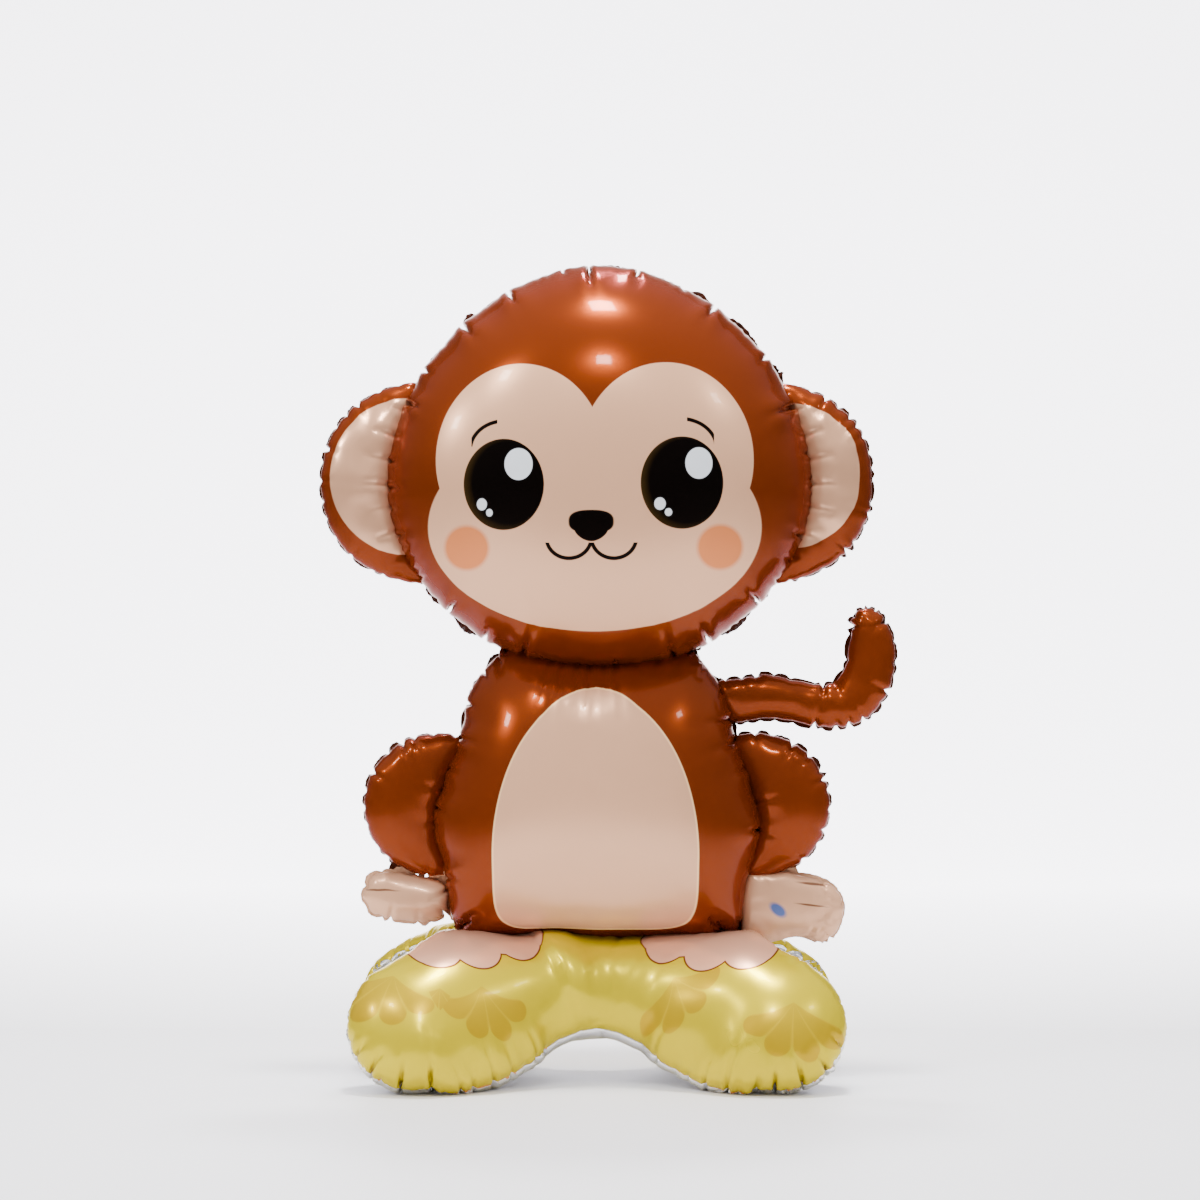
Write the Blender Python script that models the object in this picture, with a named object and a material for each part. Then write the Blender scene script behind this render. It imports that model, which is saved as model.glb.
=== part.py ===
"""A standing foil balloon monkey: one foil envelope for the figure, on a separate four-legged foil cushion.

Metres, +Z up. The figure faces -Y and its seams lie in the plane y = 0. The origin is on the floor,
under the middle of the whole balloon.
"""

import math

import bmesh
import bpy
import numpy as np
from mathutils import Matrix, Vector

for old in list(bpy.data.objects):
    bpy.data.objects.remove(old, do_unlink=True)

# Driving sizes
FIGURE_HEIGHT = 0.664  # from the seat to the top of the head
SEAT_HEIGHT = 0.136  # from the floor to the seat
BASE_WIDTH = 0.480  # across the tips of the legs
BASE_DEPTH = 0.354  # from the front legs to the back legs
LEG_DIAMETER = 0.126
ARCH_HEIGHT = 0.062  # clear height under the middle of the base
FOOT_SINK = 0.004  # how far the soft underside of a leg flattens
CROWN_RISE = 0.008  # how far the legs' tops stand above the seat
SEAM_LEAN = 15  # degrees, from upright, of the seams along the legs
SEAL_WIDTH = 0.006  # the flat heat seal around every pocket
SEAL_THICKNESS = 0.003
PLEAT_DEPTH = 0.0016  # how far a pleat draws the rim in
SEAT_DEPTH = 0.056  # front to back, where the figure stands on the base
CENTRE_WIDTH = 0.307  # the filled middle that joins the front and back legs
CENTRE_DEPTH = 0.156
CENTRE_RISE = 0.004  # how far it would stand above the seat before it is pressed flat
CENTRE_CLEARANCE = 0.012  # its underside above the arch
GAP = 0.0003  # between pieces that touch

# The figure's pose and proportions, as shares of its height, from the middle of the seat
HEAD = dict(x=0.004, z=0.674, half_width=0.3155, rise=0.326, drop=0.277, power=1.85, bulge=0.182)
EAR = dict(x=0.250, z=0.680, half_width=0.1645, rise=0.151, drop=0.151, power=2.2, bulge=0.042)
EAR_MIDDLE = 0.362  # where the crescent that shows is widest
HAUNCH = dict(x=0.241, z=0.201, half_width=0.1105, rise=0.110, drop=0.110, power=2.0, bulge=0.066)
HAUNCH_MIDDLE = (0.290, 0.204)
FOOT = dict(x=-0.284, z=0.064, half_width=0.069, rise=0.042, drop=0.042, power=2.7, bulge=0.036)
FOOT_TILT = math.radians(-6)
BODY_BULGE = 0.142
BODY_MIDDLE = (0.0, 0.20)
BODY_HALF_WIDTHS = (  # height, half width
    (-0.009, 0.207), (0.090, 0.224), (0.165, 0.2455), (0.225, 0.234),
    (0.300, 0.205), (0.365, 0.190), (0.400, 0.168), (0.450, 0.125),
)
TAIL_PATH = (  # x, z, half width
    (0.165, 0.352, 0.036), (0.215, 0.356, 0.037), (0.250, 0.361, 0.038), (0.290, 0.356, 0.036),
    (0.330, 0.348, 0.036), (0.362, 0.350, 0.038), (0.388, 0.366, 0.041), (0.405, 0.400, 0.041),
    (0.408, 0.440, 0.039), (0.403, 0.468, 0.030),
)
FILLING_TAB = (  # the flat, unfilled foot that the balloon is filled through
    (0.222, 0.100), (0.300, 0.094), (0.342, 0.082), (0.363, 0.052), (0.352, 0.012),
    (0.333, 0.001), (0.298, 0.010), (0.262, 0.003), (0.222, 0.004),
)
TAB_MIDDLE = (0.285, 0.052)
TAB_BULGE = 0.006
SEAL_OVERLAP = 0.006  # how far a pocket runs into its neighbour's seal, in metres
PINCH = 0.10  # how far a pleat draws the sheets together near the rim, as a share
TIP_TURNS = (27, 53, 76)  # degrees, of the rings that close a rounded end


def material(name, colour, metallic, roughness):
    made = bpy.data.materials.new(name)
    made.use_nodes = True
    shader = made.node_tree.nodes["Principled BSDF"]
    shader.inputs["Base Color"].default_value = (*colour, 1)
    shader.inputs["Metallic"].default_value = metallic
    shader.inputs["Roughness"].default_value = roughness
    return made


def collection(name):
    made = bpy.data.collections.new(name)
    bpy.context.scene.collection.children.link(made)
    return made


def add_object(name, mesh_maker, into, helper=False):
    """A mesh object from a filled bmesh, its faces pointing out."""
    bmesh.ops.recalc_face_normals(mesh_maker, faces=mesh_maker.faces)
    mesh = bpy.data.meshes.new(name)
    mesh_maker.to_mesh(mesh)
    mesh_maker.free()
    mesh.shade_smooth()
    made = bpy.data.objects.new(name, mesh)
    into.objects.link(made)
    made.parent = stand
    if helper:
        made.hide_render = True
        made.display_type = "WIRE"
    return made


def box(name, low, high, into):
    maker = bmesh.new()
    size = Vector(high) - Vector(low)
    place = Matrix.Translation((Vector(low) + Vector(high)) / 2) @ Matrix.Diagonal((*size, 1))
    bmesh.ops.create_cube(maker, size=1, matrix=place)
    return add_object(name, maker, into, helper=True)


def boolean(target, name, operation, other):
    made = target.modifiers.new(name, "BOOLEAN")
    made.operation = operation
    made.solver = "EXACT"
    if isinstance(other, bpy.types.Collection):
        made.operand_type = "COLLECTION"
        made.collection = other
    else:
        made.object = other


# Outlines: closed rows of (x, z) points in the plane of the seams

ROUND = np.linspace(0, 2 * math.pi, 361)[:-1]


def oval(x, z, half_width, rise, drop, power, side=1, **_):
    """A superellipse, with a rise above its middle that may differ from the drop below it."""
    across, up = np.cos(ROUND), np.sin(ROUND)
    height = np.where(up > 0, rise, drop)
    points = [
        side * x + half_width * np.sign(across) * np.abs(across) ** (2 / power),
        z + height * np.sign(up) * np.abs(up) ** (2 / power),
    ]
    return np.transpose(points)


def smooth(values, points):
    """A Catmull-Rom curve through the rows of points, read at values from 0 to the last row's number."""
    rows = np.asarray(points, float)
    first = np.clip(np.floor(values).astype(int), 0, len(rows) - 2)
    t = (values - first)[:, None]
    a, b, c, d = (rows[np.clip(first + step, 0, len(rows) - 1)] for step in (-1, 0, 1, 2))
    bend = (2 * a - 5 * b + 4 * c - d) * t**2 + (3 * b - a - 3 * c + d) * t**3
    return b + 0.5 * ((c - a) * t + bend)


def body_outline():
    side = smooth(np.linspace(0, len(BODY_HALF_WIDTHS) - 1, 90), BODY_HALF_WIDTHS)
    right = np.column_stack([side[:, 1], side[:, 0]])
    left = right[::-1] * (-1, 1)
    return np.concatenate([right, left])


def turned(points, middle, angle):
    offset = points - middle
    c, s = math.cos(angle), math.sin(angle)
    return middle + offset @ np.array([[c, s], [-s, c]])


def reach(points, middle, ways):
    """How far each way from the middle runs before it meets the outline, or infinity."""
    start = points - middle
    along = np.roll(start, -1, axis=0) - start
    cross = ways[:, 0, None] * along[None, :, 1] - ways[:, 1, None] * along[None, :, 0]
    cross = np.where(np.abs(cross) < 1e-12, 1e-12, cross)
    far = (start[:, 0] * along[:, 1] - start[:, 1] * along[:, 0])[None] / cross
    at = (start[None, :, 0] * ways[:, 1, None] - start[None, :, 1] * ways[:, 0, None]) / cross
    hit = (far > 0) & (at >= 0) & (at <= 1)
    return np.where(hit, far, np.inf).min(axis=1)


def pocket(own, middle, neighbours=()):
    """The part of an outline that its neighbours leave free, seen from its middle."""
    ways = np.column_stack([np.cos(ROUND), np.sin(ROUND)])
    far = reach(own, middle, ways)
    for other in neighbours:
        far = np.minimum(far, reach(other, middle, ways) + SEAL_OVERLAP)
    return middle + far[:, None] * ways


def evenly(points, count):
    """The same closed outline with its points at even steps along it."""
    closed = np.vstack([points, points[:1]])
    length = np.concatenate([[0], np.cumsum(np.linalg.norm(np.diff(closed, axis=0), axis=1))])
    steps = np.linspace(0, length[-1], count, endpoint=False)
    return np.column_stack([np.interp(steps, length, closed[:, i]) for i in (0, 1)])


def softened(lengths, waves=3):
    """The same lengths round a loop with only their slowest waves left."""
    parts = np.fft.rfft(lengths)
    parts[waves + 1 :] = 0
    return np.fft.irfft(parts, len(lengths))


def foil_profile(share):
    """How high two sealed discs of foil stand at a share of their radius, as a share of the middle."""
    def area(start):
        angles = np.linspace(start, math.pi / 2, 60)
        return np.sqrt(np.sin(angles)).mean() * (math.pi / 2 - start)
    return area(math.asin(min(share, 1) ** 2)) / area(0)


def pillow(name, outline, middle, bulge, pleats, rings, into, helper=True):
    """Two sheets sealed along an outline and filled: a sphere whose rings are drawn out to the rim."""
    maker = bmesh.new()
    across, down = 2 * pleats, 2 * rings + 1
    bmesh.ops.create_uvsphere(maker, u_segments=across, v_segments=down, radius=1)
    rim = evenly(outline, across) - middle
    length = np.linalg.norm(rim, axis=1)
    rim_way = rim / length[:, None]
    soft = softened(length)
    for vert in maker.verts:
        place = vert.co.normalized()
        ring = round(math.acos(max(-1, min(1, place.z))) / math.pi * down)
        column = round(math.atan2(place.y, place.x) / (2 * math.pi) * across) % across
        front = ring <= rings
        ring = ring if front else down - ring
        drawn = PLEAT_DEPTH * (column % 2)
        outer = length[column] - drawn
        if ring == rings:
            far, height = outer, 0
        else:
            share = math.sin(math.pi / 2 * ring / (rings - 1))
            edge = share**4
            far = share * (edge * (outer - SEAL_WIDTH) + (1 - edge) * (soft[column] - SEAL_WIDTH))
            height = bulge * foil_profile(share) * (1 - PINCH * (column % 2) * share**6)
        flat = middle + rim_way[column] * far
        depth = height + SEAL_THICKNESS / 2
        vert.co = (flat[0], -depth if front else depth, flat[1])
    return add_object(name, maker, into, helper)


def tube(name, stations, seam_ways, sides, into, helper=True):
    """A filled tube along stations of (place, radius), with a seal standing out on two sides."""
    maker = bmesh.new()
    places = np.array([place for place, _ in stations])
    along = np.gradient(places, axis=0)
    loops = []
    for number, (place, radius) in enumerate(stations):
        ahead = Vector(along[number]).normalized()
        seam = Vector(seam_ways[number])
        seam = (seam - ahead * seam.dot(ahead)).normalized()
        out = ahead.cross(seam)
        loop = []
        for step in range(sides):
            angle = 2 * math.pi * step / sides
            width = radius + (SEAL_WIDTH - PLEAT_DEPTH * (number % 2)) * (step % (sides // 2) == 0)
            spot = Vector(place) + seam * (math.cos(angle) * width) + out * (math.sin(angle) * radius)
            loop.append(maker.verts.new(spot))
        loops.append(loop)
    for first, second in zip(loops, loops[1:]):
        for step in range(sides):
            following = (step + 1) % sides
            maker.faces.new((first[step], first[following], second[following], second[step]))
    maker.faces.new(loops[0])
    maker.faces.new(loops[-1][::-1])
    return add_object(name, maker, into, helper)


def rounded_end(stations):
    """Stations that close a tube with a half ball, straight on from its last one."""
    (place, radius), (before, _) = stations[-1], stations[-2]
    way = (Vector(place) - Vector(before)).normalized()
    turns = [math.radians(angle) for angle in TIP_TURNS]
    return [
        (tuple(Vector(place) + way * (radius * math.sin(turn))), radius * math.cos(turn))
        for turn in turns
    ]


def share(point):
    return np.array(point) * FIGURE_HEIGHT


def sized(shape):
    """An oval's shares as sizes: everything but its power grows with the figure."""
    return {name: value if name == "power" else value * FIGURE_HEIGHT for name, value in shape.items()}


stand = bpy.data.objects.new("stand", None)
bpy.context.scene.collection.objects.link(stand)
balloon = collection("balloon")
pockets = collection("pockets of the figure")
base_pockets = collection("pockets of the base")
cutters = collection("cutters")


def make_figure():
    head_shape, ear_shape, haunch_shape, foot_shape = map(sized, (HEAD, EAR, HAUNCH, FOOT))
    head = oval(**head_shape)
    head_middle = np.array([head_shape["x"], head_shape["z"]])
    figure = pillow("figure", head, head_middle, head_shape["bulge"], 42, 6, balloon, helper=False)

    body = body_outline() * FIGURE_HEIGHT
    body_middle = share(BODY_MIDDLE)
    body_pocket = pocket(body, body_middle, [head])
    pillow("body", body_pocket, body_middle, share(BODY_BULGE), 27, 6, pockets)

    for side, name in ((-1, "left"), (1, "right")):
        ear_middle = np.array([side * share(EAR_MIDDLE), ear_shape["z"]])
        ear = pocket(oval(side=side, **ear_shape), ear_middle, [head])
        pillow(f"{name} ear", ear, ear_middle, ear_shape["bulge"], 16, 5, pockets)
        haunch_middle = share(HAUNCH_MIDDLE) * (side, 1)
        haunch = pocket(oval(side=side, **haunch_shape), haunch_middle, [body])
        pillow(f"{name} haunch", haunch, haunch_middle, haunch_shape["bulge"], 14, 5, pockets)

    foot_middle = np.array([foot_shape["x"], foot_shape["z"]])
    foot = turned(oval(**foot_shape), foot_middle, FOOT_TILT)
    pillow("left foot", foot, foot_middle, foot_shape["bulge"], 10, 4, pockets)

    tab = smooth(np.linspace(0, len(FILLING_TAB), 90, endpoint=False), (*FILLING_TAB, FILLING_TAB[0]))
    tab_middle = share(TAB_MIDDLE)
    tab_outline = pocket(share(tab), tab_middle)
    pillow("filling tab", tab_outline, tab_middle, share(TAB_BULGE), 10, 3, pockets)

    path = share(smooth(np.linspace(0, len(TAIL_PATH) - 1, 26), TAIL_PATH))
    stations = [((x, 0, z), radius - SEAL_WIDTH) for x, z, radius in path]
    along = np.gradient(path[:, :2], axis=0)
    seam_ways = [(-up, 0, over) for over, up in along]
    stations += rounded_end(stations)
    seam_ways += [seam_ways[-1]] * len(TIP_TURNS)
    tube("tail", stations, seam_ways, 10, pockets)

    boolean(figure, "sealed together", "UNION", pockets)
    far = FIGURE_HEIGHT
    under = box("under the figure", (-far, -far, -far), (far, far, GAP), cutters)
    under.location.z = SEAT_HEIGHT
    boolean(figure, "seat", "DIFFERENCE", under)
    figure.location.z = SEAT_HEIGHT
    for each in pockets.objects:
        each.location.z = SEAT_HEIGHT
    return figure


def arch_path(count=27):
    """The front pair of legs as one arched tube, from tip to tip: places and radii."""
    tip = (BASE_WIDTH - LEG_DIAMETER) / 2
    front = (BASE_DEPTH - LEG_DIAMETER) / 2
    crown = SEAT_HEIGHT + CROWN_RISE
    drop = crown - (LEG_DIAMETER - FOOT_SINK)
    arch = ARCH_HEIGHT
    half = [  # share of the way out, share of the way to the front, underside, top
        (0.00, 0.56, arch + SEAL_WIDTH, crown),
        (0.24, 0.60, 0.74 * arch + SEAL_WIDTH, crown - 0.04 * drop),
        (0.39, 0.65, 0.43 * arch + SEAL_WIDTH, crown - 0.13 * drop),
        (0.57, 0.74, 0.17 * arch + SEAL_WIDTH / 2, crown - 0.32 * drop),
        (0.79, 0.88, -FOOT_SINK, crown - 0.65 * drop),
        (1.00, 1.00, -FOOT_SINK, crown - drop),
    ]
    rows = [(-out, *rest) for out, *rest in half[:0:-1]] + half
    walk = smooth(np.linspace(0, len(rows) - 1, count), rows)
    stations = [
        ((out * tip, -ahead * front, (under + top) / 2), (top - under) / 2)
        for out, ahead, under, top in walk
    ]
    start, end = rounded_end(stations[::-1]), rounded_end(stations)
    return start[::-1] + stations + end


def make_base():
    stations = arch_path()
    lean = math.radians(SEAM_LEAN)
    for name, side, into in (("base", -1, balloon), ("back legs", 1, base_pockets)):
        path = [((x, -side * y, z), radius) for (x, y, z), radius in stations]
        seam_ways = [(0, -side * math.sin(lean), math.cos(lean))] * len(path)
        made = tube(name, path, seam_ways, 16, into, helper=into != balloon)
        base = made if into == balloon else base

    maker = bmesh.new()
    bmesh.ops.create_uvsphere(maker, u_segments=26, v_segments=9, radius=1)
    top, bottom = SEAT_HEIGHT + CENTRE_RISE, ARCH_HEIGHT + CENTRE_CLEARANCE
    for vert in maker.verts:
        over = math.hypot(vert.co.x, vert.co.y)
        height = math.copysign(foil_profile(over), vert.co.z)
        vert.co.x *= CENTRE_WIDTH / 2
        vert.co.y *= CENTRE_DEPTH / 2
        vert.co.z = (top + bottom) / 2 + (top - bottom) / 2 * height
    add_object("middle of the base", maker, base_pockets, helper=True)
    boolean(base, "sealed together", "UNION", base_pockets)

    wide = BASE_WIDTH
    floor = box("floor", (-wide, -wide, -wide), (wide, wide, 0), cutters)
    boolean(base, "standing flat", "DIFFERENCE", floor)
    half_seat = SEAT_DEPTH / 2
    seat = box("seat of the figure", (-wide, -half_seat, SEAT_HEIGHT), (wide, half_seat, wide), cutters)
    boolean(base, "seat", "DIFFERENCE", seat)
    return base


def put_origin_under_the_middle(pieces):
    bpy.context.view_layer.update()
    graph = bpy.context.evaluated_depsgraph_get()
    corners = []
    for piece in pieces:
        seen = piece.evaluated_get(graph)
        corners += [seen.matrix_world @ Vector(corner) for corner in seen.bound_box]
    low = [min(corner[i] for corner in corners) for i in (0, 1)]
    high = [max(corner[i] for corner in corners) for i in (0, 1)]
    stand.location = (-(low[0] + high[0]) / 2, -(low[1] + high[1]) / 2, 0)


figure_object = make_figure()
base_object = make_base()
figure_object.data.materials.append(material("brown printed foil", (0.36, 0.09, 0.03), 0.3, 0.15))
base_object.data.materials.append(material("yellow printed foil", (0.75, 0.6, 0.06), 0.3, 0.18))
put_origin_under_the_middle((figure_object, base_object))
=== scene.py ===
# A standing foil balloon monkey: two heat-sealed foil envelopes, filled, puckered along their seals.
import math
import bpy
import numpy as np
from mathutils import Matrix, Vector, geometry, kdtree


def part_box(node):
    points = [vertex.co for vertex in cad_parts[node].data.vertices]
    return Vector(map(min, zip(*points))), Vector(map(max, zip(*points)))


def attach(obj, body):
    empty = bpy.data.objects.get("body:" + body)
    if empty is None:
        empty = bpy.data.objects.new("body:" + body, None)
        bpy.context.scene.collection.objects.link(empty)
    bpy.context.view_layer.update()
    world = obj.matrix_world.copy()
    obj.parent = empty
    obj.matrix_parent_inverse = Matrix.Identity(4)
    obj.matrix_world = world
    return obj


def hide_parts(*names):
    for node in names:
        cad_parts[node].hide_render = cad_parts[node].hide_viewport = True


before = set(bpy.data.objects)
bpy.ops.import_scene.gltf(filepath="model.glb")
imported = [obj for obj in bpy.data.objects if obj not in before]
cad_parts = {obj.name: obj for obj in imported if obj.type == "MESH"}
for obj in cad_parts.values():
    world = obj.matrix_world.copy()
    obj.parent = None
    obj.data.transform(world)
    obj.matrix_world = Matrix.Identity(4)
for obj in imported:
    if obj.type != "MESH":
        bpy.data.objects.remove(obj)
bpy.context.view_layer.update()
figureLow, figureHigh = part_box("figure")
baseLow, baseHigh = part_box("base")
middleX = (baseLow[0] + baseHigh[0]) / 2  # the figure stands over the middle of its base
seatZ = figureLow[2]
tall = figureHigh[2] - seatZ  # the figure's height, which its shares are read against

# Outlines of the figure's pockets, as shares of its height from the middle of its seat
figureShares = {
    "head": dict(x=0.004, z=0.674, halfWidth=0.3155, rise=0.326, drop=0.277, power=1.85),
    "ear": dict(x=0.250, z=0.680, halfWidth=0.1645, rise=0.151, drop=0.151, power=2.2),
    "haunch": dict(x=0.241, z=0.201, halfWidth=0.1105, rise=0.110, drop=0.110, power=2.0),
    "foot": dict(x=-0.284, z=0.064, halfWidth=0.069, rise=0.042, drop=0.042, power=2.7),
    "footTilt": -6, "toeNotches": (164, 190, 214), "toeNotchHalf": 4.5, "toeNotchDeep": 0.09,
    "bodyHalfWidths": (
        (-0.009, 0.207), (0.090, 0.224), (0.165, 0.2455), (0.225, 0.234),
        (0.300, 0.205), (0.365, 0.190), (0.400, 0.168), (0.450, 0.125),
    ),
    "tail": (
        (0.165, 0.352, 0.036), (0.215, 0.356, 0.037), (0.250, 0.361, 0.038), (0.290, 0.356, 0.036),
        (0.330, 0.348, 0.036), (0.362, 0.350, 0.038), (0.388, 0.366, 0.041), (0.405, 0.400, 0.041),
        (0.408, 0.440, 0.039), (0.403, 0.468, 0.030),
    ),
    "tab": (
        (0.222, 0.100), (0.300, 0.094), (0.342, 0.082), (0.363, 0.052), (0.352, 0.012),
        (0.333, 0.001), (0.298, 0.010), (0.262, 0.003), (0.222, 0.004),
    ),
}
foil = {
    # the cut: the sealed rim's width, the film's thickness, and how far apart the mesh points lie
    "sealWidth": 0.006, "thickness": 0.0005, "seamStep": 0.0021, "innerStep": 0.0064, "rings": 13,
    # shares of the seam step: where two seals run together, and how near and how long the rim's mesh may be
    "joinUnder": 0.6, "rimKeep": 0.93, "rimSpacing": 0.7, "rimLongest": 2.6,
    # half the open way between two pockets
    "neckHalf": 0.013, "tailRootHalf": 0.014,
    # puckers along the seals: spacing, depth, reach and half width, and how far in they are twice as wide
    "puckerGap": 0.021, "puckerDepth": 0.0046, "puckerReach": 0.013, "puckerHalf": 0.0019, "spreadOver": 0.09,
    # a thick pocket's puckers are further apart, and a thin one's shallower
    "gapAt": 0.05, "gapLeast": 0.85, "gapMost": 1.9, "thinHalf": 0.008, "thickOver": 0.03, "thinLeast": 0.05,
    # small puckers: distance from a large one, spacing, strength and reach, each from its least by a span
    "clearOf": 0.4, "gapFrom": 0.55, "gapTo": 1.4, "strengthLeast": 0.22, "strengthSpan": 0.6,
    "reachLeast": 0.35, "reachSpan": 1.5,
    # a pucker's section: how fast it falls away, and the low bank beside it
    "foldFall": 1.1, "bankHeight": 0.2, "bankAt": 2.2,
    # mesh points down the puckers that are longer than fineFrom, in rows beside the fold
    "fineFrom": 0.017, "fineStep": 0.0023, "fineLeast": 0.0011, "fineRows": (0, 1, -1, 2.2, -2.2, 3.8, -3.8),
    # the film swells between puckers, but not at the seal itself, and puckers fade where pockets join
    "swell": 0.0011, "swellReach": 0.011, "swellFrom": 0.003, "joinFade": 0.004,
    # the rim makes a lobe between two puckers, longer on a thick pocket, that leans back
    "lobeLeast": 0.15, "lobeShort": 0.35, "lobeLean": 0.0035,
    "lobeGrowth": 2.0, "lobeFrom": 0.04, "lobeOver": 0.07,
    # where the figure stands on its base: height over its lowest point, band and half width of the whole rim
    "seatAbove": 0.006, "seatBand": 0.014, "seatHalf": 0.145,
    # the filling: rounds, rounds of stretch in each, push of the air, and how film gives, bends and is held
    "turns": 90, "inner": 3, "pressure": 0.00002, "coast": 0.86, "stepMost": 0.0012, "ease": 1.6,
    "give": 0.12, "bend": 0.25, "foldLeast": 0.8, "hold": 0.03, "holdAcross": 0.3, "openHold": 0.6,
    "firstShare": 0.6, "openShare": 0.5,
}
# The large puckers by pocket: where on the seam each starts, how far in it runs (millimetres), how deep
figurePuckers = {
    "head": (
        (-7, 651, 52), (38, 647, 29), (-82, 630, 49), (-127, 599, 52), (-161, 555, 31, 0.8), (-176, 523, 44),
        (106, 610, 47), (176, 518, 62), (152, 563, 31, 0.8), (-75, 279, 62), (75, 279, 62), (112, 292, 56),
        (-194, 470, 29, 0.6), (195, 400, 36, 0.6), (-150, 320, 42), (160, 332, 47), (-112, 294, 39, 0.7),
    ),
    "body": (
        (-50, 264, 63, 0.4), (-36, 264, 78, 0.5), (-21, 264, 66, 0.4), (-7, 264, 84, 0.55), (8, 264, 60, 0.4),
        (20, 264, 72, 0.45), (42, 264, 45, 0.3), (-128, 199, 39), (-146, 168, 30, 0.8), (-110, 232, 27),
        (140, 199, 45), (152, 172, 36, 0.9), (128, 222, 45), (-118, 4, 60, 0.8), (-140, 8, 39, 0.7),
        (132, 4, 57, 0.8), (104, 4, 33, 0.6), (-160, 130, 30, 0.6), (165, 110, 36, 0.6), (-152, 60, 36, 0.6),
    ),
    "leftEar": (
        (-178, 516, 30, 0.7), (-189, 494, 40, 0.8), (-196, 472, 34, 0.6), (-200, 450, 40, 0.8),
        (-200, 428, 30, 0.6), (-196, 404, 36, 0.8), (-188, 382, 26, 0.8), (-250, 547, 18), (-312, 500, 16),
    ),
    "rightEar": (
        (184, 516, 28, 0.7), (193, 494, 38, 0.8), (199, 472, 42, 0.6), (203, 450, 36, 0.8),
        (203, 428, 40, 0.6), (199, 404, 30, 0.8), (190, 382, 34, 0.8), (236, 552, 22), (274, 360, 18),
    ),
    "leftHaunch": ((-160, 150, 26, 0.7), (-164, 118, 20, 0.6), (-196, 199, 24), (-224, 168, 20)),
    "rightHaunch": ((163, 137, 32, 0.8), (164, 106, 26, 0.7), (196, 200, 24), (226, 160, 18)),
    "foot": ((-140, 52, 26, 0.7), (-150, 28, 18, 0.7), (-205, 15, 22, 0.7)),
    "tail": (
        (222, 250, 20), (214, 203, 20), (240, 244, 14, 0.7), (247, 309, 16), (277, 309, 18), (250, 212, 18),
        (158, 262, 14), (276, 250, 20), (236, 205, 14, 0.8), (262, 222, 22, 0.8),
    ),
    "tab": (),
}
# How far each pocket stands out to either side, as a share of the height, and how much like a tube it is
figurePockets = {
    "head": (0.182, 0.0), "body": (0.142, 0.0), "leftEar": (0.042, 0.6), "rightEar": (0.042, 0.6),
    "leftHaunch": (0.066, 0.3), "rightHaunch": (0.066, 0.3), "foot": (0.036, 0.6), "tab": (0.006, 1.0),
    "tail": (0.037, 1.0),
}
roundTurn = np.linspace(0, 2 * math.pi, 721)[:-1]


def catmull(values, rows):
    rows = np.asarray(rows, float)
    first = np.clip(np.floor(values).astype(int), 0, len(rows) - 2)
    t = (values - first)[:, None]
    a, b, c, d = (rows[np.clip(first + step, 0, len(rows) - 1)] for step in (-1, 0, 1, 2))
    bend = (2 * a - 5 * b + 4 * c - d) * t**2 + (3 * b - a - 3 * c + d) * t**3
    return b + 0.5 * ((c - a) * t + bend)


def oval(shape, side=1, inset=0.0, tilt=0):
    across, up = np.cos(roundTurn), np.sin(roundTurn)
    height = np.where(up > 0, shape["rise"], shape["drop"]) * tall - inset
    offset = np.column_stack([
        (shape["halfWidth"] * tall - inset) * np.sign(across) * np.abs(across) ** (2 / shape["power"]),
        height * np.sign(up) * np.abs(up) ** (2 / shape["power"]),
    ])
    c, s = math.cos(math.radians(tilt)), math.sin(math.radians(tilt))
    return np.array([side * shape["x"], shape["z"]]) * tall + offset @ np.array([[c, s], [-s, c]])


def evenly(outline, step):
    closed = np.vstack([outline, outline[:1]])
    length = np.concatenate([[0], np.cumsum(np.linalg.norm(np.diff(closed, axis=0), axis=1))])
    count = max(8, round(length[-1] / step))
    at = np.linspace(0, length[-1], count, endpoint=False)
    return np.column_stack([np.interp(at, length, closed[:, i]) for i in (0, 1)])


def wayAlong(row):  # the direction at each point of a closed row of points
    way = np.roll(row, -1, axis=0) - np.roll(row, 1, axis=0)
    return way / np.linalg.norm(way, axis=1)[:, None]


def rightOf(way):  # square to a direction, and outwards where the row runs anticlockwise
    return np.column_stack([way[:, 1], -way[:, 0]])


def shrunk(outline, inset):
    return outline - inset * rightOf(wayAlong(outline))


def sidesOf(tris):  # each triangle's three sides
    return np.vstack([tris[:, [0, 1]], tris[:, [1, 2]], tris[:, [2, 0]]])


def anticlockwise(points, tris):  # the triangles turned one way, with twice their areas and their middles
    a, b, c = (points[tris[:, i]] for i in range(3))
    turn = (b[:, 0] - a[:, 0]) * (c[:, 1] - a[:, 1]) - (b[:, 1] - a[:, 1]) * (c[:, 0] - a[:, 0])
    tris[turn < 0] = tris[turn < 0][:, ::-1]
    return tris, np.abs(turn), (a + b + c) / 3


def inside(points, outline):
    low, high = outline.min(axis=0), outline.max(axis=0)
    near = ((points > low) & (points < high)).all(axis=1)
    spot = points[near]
    found = np.zeros(len(spot), bool)
    for a, b in zip(outline, np.roll(outline, -1, axis=0)):
        crosses = (a[1] > spot[:, 1]) != (b[1] > spot[:, 1])
        if crosses.any():
            at = a[0] + (spot[:, 1] - a[1]) * (b[0] - a[0]) / (b[1] - a[1] if b[1] != a[1] else 1)
            found ^= crosses & (spot[:, 0] < at)
    result = np.zeros(len(points), bool)
    result[near] = found
    return result


def treeOf(points):
    tree = kdtree.KDTree(len(points))
    for number, point in enumerate(points):
        tree.insert((point[0], point[1], 0), number)
    tree.balance()
    return tree


def nearest(tree, points):
    found = [tree.find((x, y, 0)) for x, y in points]
    return np.array([f[1] for f in found], int), np.array([f[2] for f in found])


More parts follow.
